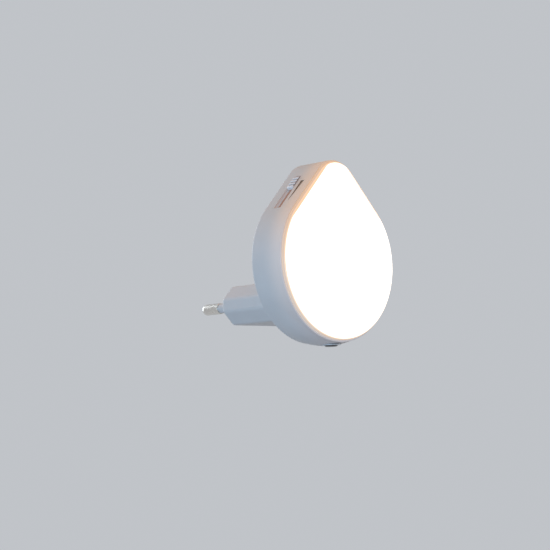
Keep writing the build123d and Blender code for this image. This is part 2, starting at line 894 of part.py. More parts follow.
# LEDs: a ring, one in its middle and a row up to the tip
with BuildPart() as leds:
    with BuildSketch(station(led_board_front)):
        with Locations(*led_places):
            Rectangle(led_length, led_width)
        with Locations((0, axis_drop)):
            with PolarLocations(led_ring_radius, led_ring_count, 180 / led_ring_count):
                Rectangle(led_length, led_width)
    extrude(amount=led_height)
    with BuildSketch(station(led_board_front + led_height)):
        with Locations(*led_places):
            Circle(led_window_radius)
        with Locations((0, axis_drop)):
            with PolarLocations(led_ring_radius, led_ring_count, 180 / led_ring_count):
                Circle(led_window_radius)
    extrude(amount=-led_window_depth, mode=Mode.SUBTRACT)
leds.part.label = "leds"
export_step(leds.part, "parts/leds.step")


# Slide potentiometer: can, resistance track and terminals, fixed to the back of the LED board
with BuildPart() as dimmer_body:
    with BuildSketch(flank.offset(-pot_depth)):
        with Locations((pot_middle, 0)):
            Rectangle(pot_length, pot_width)
    extrude(amount=-pot_height)
    fillet(dimmer_body.edges().filter_by(Axis(flank.origin, flank.z_dir)), pot_wall / 2)
    with BuildSketch(flank.offset(-(pot_depth + pot_wall))):
        with Locations((pot_middle, 0)):
            Rectangle(pot_length - 2 * pot_wall, pot_width - 2 * pot_wall)
    extrude(amount=-pot_height, mode=Mode.SUBTRACT)
    with BuildSketch(flank.offset(-pot_depth)):
        with Locations((pot_middle, 0)):
            SlotOverall(lever_length + slider_travel + 2 * thumb_end_gap, pot_slit_width)
    extrude(amount=-pot_wall, mode=Mode.SUBTRACT)
dimmer_body.part.label = "dimmer_body"
export_step(dimmer_body.part, "parts/dimmer_body.step")

with BuildPart() as dimmer_track:
    with BuildSketch(flank.offset(track_top)):
        with Locations((pot_middle, 0)):
            Rectangle(
                pot_length - 2 * pot_wall - 2 * track_gap,
                pot_width - 2 * pot_wall - 2 * track_gap,
            )
    extrude(amount=-track_thickness)
dimmer_track.part.label = "dimmer_track"
export_step(dimmer_track.part, "parts/dimmer_track.step")

with BuildPart() as dimmer_terminals:
    with BuildSketch(slider_section.offset(led_board_back - slot_station)):
        with Locations((pot_middle, -(pot_depth + pot_height / 2))):
            with GridLocations(terminal_pitch, 0, terminal_count, 1):
                Rectangle(terminal_size, terminal_size)
    extrude(amount=board_thickness + terminal_stub)
dimmer_terminals.part.label = "dimmer_terminals"
export_step(dimmer_terminals.part, "parts/dimmer_terminals.step")


# Carriage of the potentiometer: block and lever in one piece
with BuildPart() as dimmer_carriage:
    with BuildSketch(flank.offset(carriage_top)):
        with Locations((thumb_middle, 0)):
            Rectangle(carriage_length, pot_width - 2 * pot_wall - 2 * carriage_gap)
    extrude(amount=-carriage_height)
    with BuildSketch(flank.offset(carriage_top)):
        with Locations((thumb_middle, 0)):
            Rectangle(lever_length, lever_width)
    extrude(amount=lever_tip - carriage_top)
dimmer_carriage.part.label = "dimmer_carriage"
export_step(dimmer_carriage.part, "parts/dimmer_carriage.step")


# Wiper: sprung strip under the carriage, with two fingers that reach down to the track
wiper_low = thumb_middle - carriage_length / 2 + wiper_pad
wiper_high = thumb_middle + carriage_length / 2 - wiper_pad
wiper_foot = track_top + wiper_gap
with BuildPart() as dimmer_wiper:
    with BuildSketch(slider_section):
        with BuildLine():
            Polyline(
                (wiper_high, carriage_bottom),
                (wiper_low, carriage_bottom),
                (wiper_low - wiper_reach, wiper_foot + wiper_thickness),
                (wiper_low - wiper_reach - wiper_pad, wiper_foot + wiper_thickness),
                (wiper_low - wiper_reach - wiper_pad, wiper_foot),
                (wiper_low - wiper_reach, wiper_foot),
                (wiper_low, carriage_bottom - wiper_thickness),
                (wiper_high, carriage_bottom - wiper_thickness),
                close=True,
            )
        make_face()
    extrude(amount=wiper_width / 2, both=True)
    with BuildSketch(slider_section):
        with Locations((wiper_low - wiper_reach, wiper_foot)):
            Rectangle(2 * wiper_reach, 4 * carriage_height)
    extrude(amount=wiper_slot / 2, both=True, mode=Mode.SUBTRACT)
dimmer_wiper.part.label = "dimmer_wiper"
export_step(dimmer_wiper.part, "parts/dimmer_wiper.step")


# Slider knob: ribbed thumb piece in the recess, with a stem that grips the lever
thumb_low = thumb_middle - thumb_length / 2
thumb_high = thumb_middle + thumb_length / 2
thumb_base = -(slot_depth - thumb_floor_gap)
groove_floor = thumb_proud - rib_groove_depth
groove_shape = (
    (-rib_groove_top / 2, thumb_proud),
    (-rib_groove_floor / 2, groove_floor),
    (rib_groove_floor / 2, groove_floor),
    (rib_groove_top / 2, thumb_proud),
)
groove_places = [(thumb_low + rib_pitch * (number + 1), 0) for number in range(rib_count)]
last_rib = thumb_low + rib_pitch * (rib_count + 1) - rib_groove_top / 2
with BuildPart() as slider_knob:
    with BuildSketch(slider_section):
        with Locations((thumb_middle, (thumb_base + thumb_proud) / 2)):
            Rectangle(thumb_length, thumb_proud - thumb_base)
    extrude(amount=thumb_width / 2, both=True)
    long_edges = slider_knob.edges().filter_by(Axis(flank.origin, flank.x_dir))
    fillet(long_edges.sort_by(Axis(flank.origin, flank.z_dir))[-2:], thumb_edge_radius)
    # grooves between the ribs, and the low land above the last one
    with BuildSketch(slider_section):
        with Locations(*groove_places):
            Polygon(*groove_shape, align=None)
        Polygon(
            (last_rib, thumb_proud),
            (last_rib + (rib_groove_top - rib_groove_floor) / 2, groove_floor),
            (thumb_high, groove_floor),
            (thumb_high, thumb_proud),
            align=None,
        )
    extrude(amount=thumb_width / 2, both=True, mode=Mode.SUBTRACT)
    with BuildSketch(flank.offset(thumb_base)):
        with Locations((thumb_middle, 0)):
            SlotOverall(stem_length, stem_width)
    extrude(amount=stem_end - thumb_base)
    with BuildSketch(flank.offset(stem_end)):
        with Locations((thumb_middle, 0)):
            Rectangle(
                lever_length + 2 * lever_socket_gap, lever_width + 2 * lever_socket_gap
            )
    extrude(amount=lever_tip + lever_socket_gap - stem_end, mode=Mode.SUBTRACT)
slider_knob.part.label = "slider_knob"
export_step(slider_knob.part, "parts/slider_knob.step")


# Light sensor: bezel, smoky window, light-tight tube and the sensor itself
with BuildPart() as sensor_bezel:
    with BuildSketch(sensor_plane.offset(bezel_bottom)):
        Circle(bezel_radius)
    extrude(amount=bezel_height)
    fillet(sensor_bezel.edges().sort_by(Axis.Z)[0], bezel_edge_radius)
    with BuildSketch(sensor_plane.offset(bezel_bottom)):
        Circle(window_radius + bezel_gap)
    extrude(amount=window_top - bezel_bottom, mode=Mode.SUBTRACT)
    with BuildSketch(sensor_plane.offset(bezel_bottom)):
        Circle(window_radius - window_seat)
    extrude(amount=bezel_height, mode=Mode.SUBTRACT)
sensor_bezel.part.label = "sensor_bezel"
export_step(sensor_bezel.part, "parts/sensor_bezel.step")

sensor_section = Plane(origin=(0, -sensor_station, 0), x_dir=(1, 0, 0), z_dir=(0, -1, 0))
sensor_axis = Axis((0, -sensor_station, 0), (0, 0, 1))
window_sphere = (window_radius**2 + (window_rim - window_bottom) ** 2) / 2 / (window_rim - window_bottom)
with BuildPart() as sensor_window:
    with BuildSketch(sensor_section):
        with BuildLine():
            Polyline(
                (0, window_bottom),
                (0, window_top),
                (window_radius, window_top),
                (window_radius, window_rim),
            )
            RadiusArc((window_radius, window_rim), (0, window_bottom), window_sphere)
        make_face()
    revolve(axis=sensor_axis)
sensor_window.part.label = "sensor_window"
export_step(sensor_window.part, "parts/sensor_window.step")

with BuildPart() as sensor_tube:
    with BuildSketch(sensor_plane.offset(bezel_top)):
        Circle(tube_radius)
        Circle(tube_bore, mode=Mode.SUBTRACT)
    extrude(amount=tube_height)
sensor_tube.part.label = "sensor_tube"
export_step(sensor_tube.part, "parts/sensor_tube.step")

with BuildPart() as light_sensor:
    with BuildSketch(sensor_plane.offset(tube_top)):
        Circle(sensor_flange_radius)
    extrude(amount=-sensor_flange_height)
    with BuildSketch(sensor_plane.offset(tube_top)):
        Circle(sensor_radius)
    extrude(amount=-(sensor_flange_height + sensor_height))
    fillet(light_sensor.edges().sort_by(Axis.Z)[0], sensor_nose_radius)
    for x, z in sensor_leads:
        with BuildLine():
            FilletPolyline(
                (x, -sensor_station, tube_top),
                (x, -sensor_station, z),
                (x, -lead_end, z),
                radius=lead_bend,
            )
        with BuildSketch(Plane(origin=(x, -sensor_station, tube_top), z_dir=(0, 0, 1))):
            Circle(lead_radius)
        sweep()
light_sensor.part.label = "light_sensor"
export_step(light_sensor.part, "parts/light_sensor.step")
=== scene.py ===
# %% [markdown]
# A plug-in night light, dressed on its CAD frame
#
# The lamp is a flat drop-shaped body with a two-pin plug on its back: a white moulded ring, an opal front
# that glows, a brightness slider on the upper left flank and a light sensor underneath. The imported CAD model
# is loaded first and never moved. Each visible piece is then modelled again with fine rounded edges, in the
# same place, and everything gets a finish made of shader nodes.

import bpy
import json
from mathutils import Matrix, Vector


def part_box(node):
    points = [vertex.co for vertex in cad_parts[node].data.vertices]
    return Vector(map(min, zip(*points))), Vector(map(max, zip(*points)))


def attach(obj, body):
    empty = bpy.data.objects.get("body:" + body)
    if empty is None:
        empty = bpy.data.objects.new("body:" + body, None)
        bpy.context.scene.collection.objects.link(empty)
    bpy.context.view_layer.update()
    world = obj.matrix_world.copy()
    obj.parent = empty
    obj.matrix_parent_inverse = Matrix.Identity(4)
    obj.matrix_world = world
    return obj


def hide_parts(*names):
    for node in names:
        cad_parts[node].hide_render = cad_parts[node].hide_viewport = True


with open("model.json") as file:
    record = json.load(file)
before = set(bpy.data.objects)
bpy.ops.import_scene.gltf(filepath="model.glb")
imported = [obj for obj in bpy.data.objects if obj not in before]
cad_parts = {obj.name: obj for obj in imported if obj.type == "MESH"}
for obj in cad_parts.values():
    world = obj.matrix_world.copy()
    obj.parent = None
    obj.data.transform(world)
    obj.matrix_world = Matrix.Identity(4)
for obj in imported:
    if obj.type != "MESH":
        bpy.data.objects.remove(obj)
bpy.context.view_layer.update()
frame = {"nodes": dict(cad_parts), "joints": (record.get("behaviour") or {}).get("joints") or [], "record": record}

# %% Tools and units
import json
import math

import bmesh
import bpy
from mathutils import Matrix, Vector

MM = 0.001
scene = bpy.context.scene
print("sizes are in millimetres, of", MM, "m each")

# %% [markdown]
# The drop
#
# Seen from the front, the body is a large round below, a small round at the tip and two straight flanks that
# touch both. The sizes could be typed in again, but the frame already holds them: the ring's box gives the
# large round and the top, the opal front's box gives the height of the round's middle, and the slider's joint
# runs along the left flank, so its axis gives the lean. A station is a distance in front of the plug's face,
# in millimetres, as in the CAD model.

# %% Measure the drop from the frame


def node_box(node):
    """A CAD node's corners in millimetres."""
    low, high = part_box(node)
    return low / MM, high / MM


ring_low, ring_high = node_box("housing_shell")
opal_low, opal_high = node_box("front_diffuser")
flank_up = -Vector(frame["joints"][0]["axis"]).normalized()
flank_out = Vector((-flank_up.z, 0, flank_up.x))
lean = math.atan2(flank_up.x, flank_up.z)
body_radius = (ring_high.x - ring_low.x) / 2
axis_z = opal_low.z + (opal_high.x - opal_low.x) / 2
tip_radius = (body_radius / math.sin(lean) - ring_high.z + axis_z) / (1 / math.sin(lean) - 1)
tip_z = ring_high.z - tip_radius
flank_length = (body_radius - tip_radius) / math.tan(lean)
back = -ring_high.y
front_edge = -ring_low.y
face = -opal_low.y
print("large round", round(body_radius, 2), "tip", round(tip_radius, 2))
print("lean", round(math.degrees(lean), 2), "degrees, flank", round(flank_length, 2), "mm long")

# %% [markdown]
# Shader maths in Python
#
# A finish is a small program: noise and coordinates go in, colour, roughness and relief come out. Clicking
# nodes together hides that, so a class wraps a socket and lets Python's own operators add the Math nodes.
# One method makes every other node from its type, its settings and what goes into its sockets.

# %% A socket that can be calculated with


class Value:
    """A shader socket; arithmetic on it adds Math nodes to the tree that owns it."""

    def __init__(self, owner, socket):
        self.owner = owner
        self.socket = socket

    def math(self, operation, first, second):
        """The result of a Math node."""
        return self.owner.node("ShaderNodeMath", {"operation": operation}, {0: first, 1: second})

    def __add__(self, other):
        return self.math("ADD", self, other)

    def __radd__(self, other):
        return self.math("ADD", other, self)

    def __sub__(self, other):
        return self.math("SUBTRACT", self, other)

    def __rsub__(self, other):
        return self.math("SUBTRACT", other, self)

    def __mul__(self, other):
        return self.math("MULTIPLY", self, other)

    def __rmul__(self, other):
        return self.math("MULTIPLY", other, self)


# %% A node tree
# A Mix node has sockets for numbers, vectors and colours, and these are its colour sockets
MIX_FIRST = 6
MIX_SECOND = 7
MIX_RESULT = 2


class Tree:
    """A node tree, and the one method that adds nodes to it."""

    def __init__(self, tree):
        self.tree = tree

    def plug(self, socket, value):
        """Link a value to a socket, or set a constant on it."""
        if isinstance(value, Value):
            self.tree.links.new(value.socket, socket)
        else:
            socket.default_value = value

    def node(self, kind, settings=None, inputs=None, output=0):
        """Add a node, set it up, fill its sockets and return one of its outputs."""
        made = self.tree.nodes.new(kind)
        for name, value in (settings or {}).items():
            setattr(made, name, value)
        for name, value in (inputs or {}).items():
            self.plug(made.inputs[name], value)
        return Value(self, made.outputs[output])

    def mix(self, factor, first, second):
        """A colour between two colours."""
        inputs = {"Factor": factor, MIX_FIRST: first, MIX_SECOND: second}
        return self.node("ShaderNodeMix", {"data_type": "RGBA"}, inputs, MIX_RESULT)


# %% A finish


class Finish(Tree):
    """A material with one Principled shader."""

    def __init__(self, name, **surface):
        self.material = bpy.data.materials.new(name)
        self.material.use_nodes = True
        super().__init__(self.material.node_tree)
        self.shader = self.tree.nodes["Principled BSDF"]
        self.set(**surface)

    def set(self, **surface):
        """Set the shader's sockets: base_color stands for Base Color."""
        for name, value in surface.items():
            self.plug(self.shader.inputs[name.replace("_", " ").title()], value)

    def fed(self, name):
        """What already goes into one of the shader's sockets."""
        return Value(self, self.shader.inputs[name].links[0].from_socket)

    def place(self):
        """Object coordinates, which are the part's frame in metres."""
        return self.node("ShaderNodeTexCoord", output="Object")

    def axis(self, name):
        """One coordinate in millimetres."""
        metres = self.node("ShaderNodeSeparateXYZ", inputs={"Vector": self.place()}, output=name)
        return metres * (1 / MM)

    def noise(self, size, detail=2.0):
        """Noise from 0 to 1 whose patches are about size millimetres wide."""
        inputs = {"Vector": self.place(), "Scale": 1 / (size * MM), "Detail": detail}
        return self.node("ShaderNodeTexNoise", inputs=inputs)

    def ramp(self, value, low, high):
        """0 below low, 1 above high and a smooth rise between them."""
        inputs = {"Value": value, "From Min": low, "From Max": high}
        return self.node("ShaderNodeMapRange", {"interpolation_type": "SMOOTHSTEP"}, inputs)

    def bump(self, height, depth):
        """Relief of a depth in millimetres for the shader's Normal."""
        inputs = {"Height": height, "Distance": depth * MM, "Strength": 1.0}
        return self.node("ShaderNodeBump", inputs=inputs)


def opaque(colour):
    """A colour with full alpha, as a socket takes it."""
    return (*colour, 1.0)


def tint(colour, factor):
    """A colour made lighter or darker, with full alpha."""
    return opaque(channel * factor for channel in colour[:3])


# %% [markdown]
# White moulded plastic
#
# The ring, the rear cover, the thumb piece and the sensor's ring are satin white plastic. A mould for such a
# case is spark-eroded, so the surface has a fine even grain that breaks up the gloss. Two noises do it: a
# fine one for the grain in roughness and relief, and a wide one for the faint clouding of a cheap moulding.

# %% Moulded plastics
GRAIN_DETAIL = 3.0
GLOSS_SPREAD = 0.16
CLOUD_SIZE = 11.0
CLOUD_LOW = 0.3
CLOUD_HIGH = 0.7


def moulded(name, colour, roughness, grain=0.35, relief=0.012, clouding=0.04):
    """Plastic with a fine grain; sizes in millimetres."""
    finish = Finish(name)
    fine = finish.noise(grain, GRAIN_DETAIL)
    shade = finish.ramp(finish.noise(CLOUD_SIZE), CLOUD_LOW, CLOUD_HIGH)
    finish.set(
        base_color=finish.mix(shade, tint(colour, 1 - clouding), tint(colour, 1.0)),
        roughness=roughness - GLOSS_SPREAD / 2 + GLOSS_SPREAD * fine,
        normal=finish.bump(fine, relief),
    )
    return finish


WHITE = (0.69, 0.7, 0.715)
SATIN = 0.46
white_plastic = moulded("white_plastic", WHITE, SATIN)
black_plastic = moulded("black_plastic", (0.035, 0.035, 0.038), roughness=0.5, relief=0.02)
black_rubber = moulded("black_rubber", (0.022, 0.022, 0.022), roughness=0.78, grain=0.6, relief=0.03)
sleeve_plastic = moulded("pin_sleeve_plastic", tint(WHITE, 0.97), roughness=0.4, grain=0.5)
mark_paint = moulded("mark_paint", (0.33, 0.23, 0.16), roughness=0.6, grain=0.2, relief=0.03)
plastics = (white_plastic, black_plastic, black_rubber, sleeve_plastic, mark_paint)
print("plastics:", [plastic.material.name for plastic in plastics])

# %% [markdown]
# Light through the ring and the opal front
#
# The lamp is on. Some light leaks through the ring near its front edge: warm and strong at the narrow tip,
# where the ring is close to the LEDs, pale at the sides and hardly any below. The ring's lip, right beside
# the opal front, catches more and shows as a fine line. The ring's base colour is also painted warmer towards
# the front of the tip, and lighter and warmer on the lip there, as painted warm light. The opal front is
# so bright that it reads as pure white. Its side, where the light has further to go, stays dull and warm,
# paler low down, and its rounded rim turns from there to white. Along the two flanks, away from the LEDs, the
# warm tint reaches a little further in. All of these are colours that follow the place on the lamp.

# %% The ring's glow
BLACK = (0.0, 0.0, 0.0, 1.0)
GLOW_DEPTH = 9.0
LIP_DEPTH = 0.12
LIP_BLUR = 0.02

ring_plastic = moulded("housing_plastic", WHITE, SATIN)
ring_station = 0 - ring_plastic.axis("Y")
at_sides = ring_plastic.ramp(ring_plastic.axis("Z"), axis_z - body_radius, axis_z)
at_tip = ring_plastic.ramp(ring_plastic.axis("Z"), axis_z, tip_z)


def by_height(bottom, sides, tip):
    """A colour that changes from the bottom of the ring to its tip."""
    lower = ring_plastic.mix(at_sides, opaque(bottom), opaque(sides))
    return ring_plastic.mix(at_tip, lower, opaque(tip))


leak = by_height(bottom=(0.03, 0.01, 0.0), sides=(0.12, 0.08, 0.055), tip=(0.18, 0.07, 0.0))
lip_light = by_height(bottom=(0.15, 0.12, 0.125), sides=(0.18, 0.125, 0.1), tip=(0.24, 0.11, 0.02))
near_front = ring_plastic.ramp(ring_station, front_edge - GLOW_DEPTH, front_edge)
glow = ring_plastic.mix(near_front, BLACK, leak)
lip = ring_plastic.ramp(ring_station, front_edge - LIP_DEPTH, front_edge - LIP_BLUR)
ring_plastic.set(emission_color=ring_plastic.mix(lip, glow, lip_light), emission_strength=1.0)
print("glow starts", round(front_edge - GLOW_DEPTH, 2), "mm in front of the plug's face")

# %% The ring's painted warm light
PAINTED_WARMTH_DEPTH = 24.0
PAINTED_WARM_LIGHT = (0.69, 0.645, 0.595, 1.0)
PAINTED_LIP_LIGHT = (0.68, 0.62, 0.55, 1.0)

# The warmer base colour towards the front of the tip, and on the lip there, is painted warm light
painted_warmth_mask = ring_plastic.ramp(ring_station, front_edge - PAINTED_WARMTH_DEPTH, front_edge) * at_tip
ring_with_painted_warmth = ring_plastic.mix(painted_warmth_mask, ring_plastic.fed("Base Color"), PAINTED_WARM_LIGHT)
ring_plastic.set(base_color=ring_plastic.mix(lip * at_tip, ring_with_painted_warmth, PAINTED_LIP_LIGHT))
print("tint starts", round(front_edge - PAINTED_WARMTH_DEPTH, 2), "mm in front of the plug's face")

# %% Where the opal front is warm and where it is white
RIM_START = 0.6
RIM_END = 0.2
WHITE_START = 0.22
WHITE_END = 0.02
FLANK_WARM = 1.4
FLANK_WHITE = 1.7

opal_plastic = moulded("opal_plastic", (0.73, 0.65, 0.54), roughness=0.3, grain=0.8, relief=0.004)
opal_station = 0 - opal_plastic.axis("Y")
opal_z = opal_plastic.axis("Z")
across = opal_plastic.node("ShaderNodeMath", {"operation": "ABSOLUTE"}, {0: opal_plastic.axis("X")})
from_flank = body_radius - across * math.cos(lean) - (opal_z - axis_z) * math.sin(lean)
warm = opal_plastic.ramp(opal_station, face - RIM_START, face - RIM_END)
white_in_front = opal_plastic.ramp(opal_station, face - WHITE_START, face - WHITE_END)
white = white_in_front * opal_plastic.ramp(from_flank, FLANK_WARM, FLANK_WHITE)
low_down = 1 - opal_plastic.ramp(opal_z, axis_z - body_radius, axis_z + body_radius / 2)
print("white starts", WHITE_START, "mm behind the face and", FLANK_WARM, "mm in from the flanks")

# %% The opal front's light
OPAL_SIDE = (0.19, 0.09, 0.03, 1.0)
OPAL_RIM = (0.44, 0.2, 0.06, 1.0)
LOW_SIDE = (0.22, 0.16, 0.12, 1.0)
LOW_RIM = (0.46, 0.28, 0.16, 1.0)
OPAL_FACE = (1.0, 0.95, 0.88, 1.0)
OPAL_STRENGTH = 1.5

dull_side = opal_plastic.mix(low_down, OPAL_SIDE, LOW_SIDE)
warm_rim = opal_plastic.mix(low_down, OPAL_RIM, LOW_RIM)
side_light = opal_plastic.mix(warm, dull_side, warm_rim)
opal_light = opal_plastic.mix(white, side_light, OPAL_FACE)
opal_plastic.set(emission_color=opal_light, emission_strength=OPAL_STRENGTH)
print("opal front glows at a strength of", OPAL_STRENGTH)

# %% [markdown]
# The slider's recess
#
# The walls of the recess get a darker colour than the flank, which is painted shade. In the slit below it the
# walls get a dark reddish brown, also painted shade, and the warm light of the inside shows on them, and a
# little of it lights the walls of the recess too.

# %% Recess and slit
RECESS_GLOW = (0.08, 0.045, 0.03, 1.0)
SLIT_GLOW = (0.19, 0.105, 0.075, 1.0)

# The darker colour of the recess walls and the dark reddish brown of the slit walls are painted shade
recess_painted_shade = moulded("recess_painted_shade", (0.62, 0.56, 0.53), roughness=0.55)
recess_painted_shade.set(emission_color=RECESS_GLOW, emission_strength=1.0)
slit_painted_shade = moulded("slit_painted_shade", (0.34, 0.22, 0.18), roughness=0.6)
slit_painted_shade.set(emission_color=SLIT_GLOW, emission_strength=1.0)
print("made", recess_painted_shade.material.name, "and", slit_painted_shade.material.name)

# %% [markdown]
# Metals, boards and small parts
#
# The pins are turned and nickel plated, so fine rings run round them. Screws and the potentiometer's can are
# plated steel with a dull, blotchy shine. The boards and the parts on them sit inside the closed body, and
# each still gets the finish of the real thing: solder mask over copper, wound foil, lacquer and so on.

# %% Metals
BLOTCH_SIZE = 1.6
BLOTCH_DETAIL = 3.0
BLOTCH_SHADE = 0.86
SCRATCH_SIZE = 0.25
PLATE_RELIEF = 0.004
PLATE_SMOOTH = 0.06
PLATE_SPREAD = 0.14


def plated(name, colour, roughness, ring_pitch=0.0):
    """Plated metal; a ring pitch in millimetres gives turning marks along the pin in place of scratches."""
    finish = Finish(name, metallic=1.0)
    blotch = finish.noise(BLOTCH_SIZE, BLOTCH_DETAIL)
    if ring_pitch:
        turns = finish.axis("Y") * (math.tau / ring_pitch)
        height = finish.node("ShaderNodeMath", {"operation": "SINE"}, {0: turns})
    else:
        height = finish.noise(SCRATCH_SIZE)
    finish.set(
        base_color=finish.mix(blotch, tint(colour, BLOTCH_SHADE), tint(colour, 1.0)),
        roughness=roughness - PLATE_SMOOTH + PLATE_SPREAD * blotch,
        normal=finish.bump(height, PLATE_RELIEF),
    )
    return finish


nickel = plated("nickel_pins", (0.74, 0.71, 0.66), roughness=0.24, ring_pitch=0.18)
zinc = plated("zinc_screws", (0.63, 0.64, 0.65), roughness=0.36)
tinned = plated("tinned_steel", (0.60, 0.61, 0.62), roughness=0.34)
brass = plated("brass_strips", (0.72, 0.55, 0.27), roughness=0.3)
print("metals:", [metal.material.name for metal in (nickel, zinc, tinned, brass)])

# %% Boards
TRACK_CELL = 5.0
TRACK_WIDTH = 0.06
TRACK_RELIEF = 0.03
MASK_GRAIN = 0.4
MASK_ROUGHNESS = 0.34
MASK_SPREAD = 0.12


def circuit_board(name, colour, copper):
    """Solder mask over copper tracks."""
    finish = Finish(name, coat_weight=0.4)
    layout = {"Vector": finish.place(), "Scale": 1 / (TRACK_CELL * MM), "Mortar Size": TRACK_WIDTH}
    tracks = finish.node("ShaderNodeTexBrick", inputs=layout, output="Fac")
    finish.set(
        base_color=finish.mix(tracks, opaque(colour), opaque(copper)),
        roughness=MASK_ROUGHNESS + MASK_SPREAD * finish.noise(MASK_GRAIN),
        normal=finish.bump(tracks, TRACK_RELIEF),
    )
    return finish


green_board = circuit_board("green_board", colour=(0.02, 0.13, 0.06), copper=(0.05, 0.24, 0.10))
white_board = circuit_board("white_board", colour=(0.78, 0.78, 0.76), copper=(0.70, 0.71, 0.69))
print("boards:", green_board.material.name, white_board.material.name)

# %% The lens and the finish of every slot
SMOKE = (0.1, 0.097, 0.095)

lens_plastic = moulded("smoky_window", SMOKE, roughness=0.3, grain=1.4, relief=0.002, clouding=0.15)
lens_plastic.set(coat_weight=0.2)

slot_finish = {
    "white_plastic": white_plastic,
    "opal_diffuser": opal_plastic,
    "smoky_window": lens_plastic,
    "black_rubber": black_rubber,
    "black_plastic": black_plastic,
    "zinc_screws": zinc,
    "nickel_pins": nickel,
    "pin_sleeves": sleeve_plastic,
    "brass_strips": brass,
    "green_board": green_board,
    "white_board": white_board,
    "steel_can": tinned,
    "led_bodies": moulded("led_bodies", (0.82, 0.66, 0.27), roughness=0.4, grain=0.3),
    "capacitor_yellow": moulded("capacitor_yellow", (0.72, 0.48, 0.05), roughness=0.45, grain=0.6),
    "capacitor_can": moulded("capacitor_can", (0.03, 0.035, 0.075), roughness=0.28, grain=0.9),
    "resistor_body": moulded("resistor_body", (0.22, 0.36, 0.42), roughness=0.35, grain=0.5),
    "brown_track": moulded("brown_track", (0.22, 0.11, 0.045), roughness=0.55, grain=0.5),
}
print("finishes for", len(slot_finish), "slots")

# %% Give every CAD node the finish of its slot
for subpart in frame["record"]["subparts"]:
    mesh = frame["nodes"][subpart["node"]].data
    mesh.materials.clear()
    mesh.materials.append(slot_finish[subpart["material_slot"]].material)

# %% [markdown]
# Making a piece
#
# Every piece is modelled in millimetres in a bmesh and made small at the end, because Blender's merging and
# cutting tools work best on numbers near one. Rounded edges shade evenly only if the flat faces keep their
# own normals, so each piece carries a Weighted Normal modifier that lets large faces win.

# %% From bmesh to piece
SHARP_EDGE = math.radians(38)
FACE_WEIGHT = 100


def make_piece(bm, name, body, slot, replaced, *finishes):
    """Turn a bmesh in millimetres into a piece that rides on a body and stands for CAD nodes."""
    bmesh.ops.scale(bm, vec=(MM, MM, MM), verts=bm.verts)
    mesh = bpy.data.meshes.new(name)
    bm.to_mesh(mesh)
    bm.free()
    mesh.shade_smooth()
    mesh.set_sharp_from_angle(angle=SHARP_EDGE)
    for finish in finishes:
        mesh.materials.append(finish.material)
    piece = bpy.data.objects.new(name, mesh)
    scene.collection.objects.link(piece)
    even = piece.modifiers.new("even_normals", "WEIGHTED_NORMAL")
    even.keep_sharp = True
    even.weight = FACE_WEIGHT
    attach(piece, body)
    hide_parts(*replaced)
    size = [round(side / MM, 2) for side in piece.dimensions]
    print(name, len(mesh.polygons), "faces", size, "mm")


# %% Cut or join two closed shapes
MERGE = 1e-4
NEAR = 1e-3


def combine(bm, other, operation):
    """Run a Boolean modifier on two bmeshes; the first keeps the result, and the second is freed."""
    shapes = []
    for part in (bm, other):
        mesh = bpy.data.meshes.new("shape")
        part.to_mesh(mesh)
        shape = bpy.data.objects.new("shape", mesh)
        scene.collection.objects.link(shape)
        shapes.append(shape)
    other.free()
    cut = shapes[0].modifiers.new("cut", "BOOLEAN")
    cut.object = shapes[1]
    cut.operation = operation
    cut.solver = "EXACT"
    depsgraph = bpy.context.evaluated_depsgraph_get()
    result = bpy.data.meshes.new_from_object(shapes[0].evaluated_get(depsgraph))
    bm.clear()
    bm.from_mesh(result)
    bpy.data.meshes.remove(result)
    for shape in shapes:
        bpy.data.meshes.remove(shape.data)
    bmesh.ops.remove_doubles(bm, verts=bm.verts, dist=MERGE)
    bmesh.ops.dissolve_degenerate(bm, edges=bm.edges, dist=MERGE)


# %% Round edges


def soften(bm, edges, width, segments=3):
    """Round edges by a width in millimetres."""
    bmesh.ops.bevel(
        bm,
        geom=edges,
        offset=width,
        offset_type="OFFSET",
        segments=segments,
        profile=0.5,
        affect="EDGES",
        material=-1,
        clamp_overlap=True,
    )


def is_sharp(edge):
    """Whether two faces meet at an edge that shades as a sharp one."""
    return edge.is_manifold and edge.calc_face_angle() > SHARP_EDGE


def of_type(items, kind):
    """The vertices or edges among the items that an operator returns."""
    return [item for item in items if isinstance(item, kind)]


# %% [markdown]
# Carrying a section round the drop
#
# The ring, the opal front and the back plate all have the drop's outline and differ only in section. So a
# section is drawn once, at the foot of the right flank, and carried round: a spin for the lower round, an
# extrusion up the left flank, a spin for the tip and an extrusion down the right flank. A loft through many
# outlines would do too, but this way the rounds are true circles and the flanks stay single flat faces.

# %% Draw a section
CORNER_STEPS = 6


def draw_outline(bm, corners, place, joined=True):
    """Draw (first, second, corner radius) points as edges; joined closes the last point to the first."""
    verts = [bm.verts.new(place(first, second)) for first, second, radius in corners]
    bm.faces.new(verts)
    closing = {verts[0], verts[-1]}
    for vert, (first, second, radius) in zip(verts, corners):
        if radius:
            bmesh.ops.bevel(
                bm,
                geom=[vert],
                offset=radius,
                offset_type="OFFSET",
                segments=CORNER_STEPS,
                profile=0.5,
                affect="VERTICES",
                material=-1,
            )
    bmesh.ops.delete(bm, geom=bm.faces[:], context="FACES_ONLY")
    if not joined:
        spare = [edge for edge in bm.edges if set(edge.verts) == closing]
        bmesh.ops.delete(bm, geom=spare, context="EDGES")


def flank_section(inset, station):
    """A point of a section that stands at the foot of the right flank."""
    reach = body_radius - inset
    return Vector((reach * math.cos(lean), -station, axis_z + reach * math.sin(lean)))


# %% Carry it round
ROUND_STEPS = 140
TIP_STEPS = 52


def slide_edges(bm, edges, offset):
    """Extrude edges along an offset and return the edges at the far end."""
    made = bmesh.ops.extrude_edge_only(bm, edges=edges)["geom"]
    verts = of_type(made, bmesh.types.BMVert)
    bmesh.ops.translate(bm, vec=offset, verts=verts)
    fresh = set(verts)
    return [edge for edge in of_type(made, bmesh.types.BMEdge) if set(edge.verts) <= fresh]


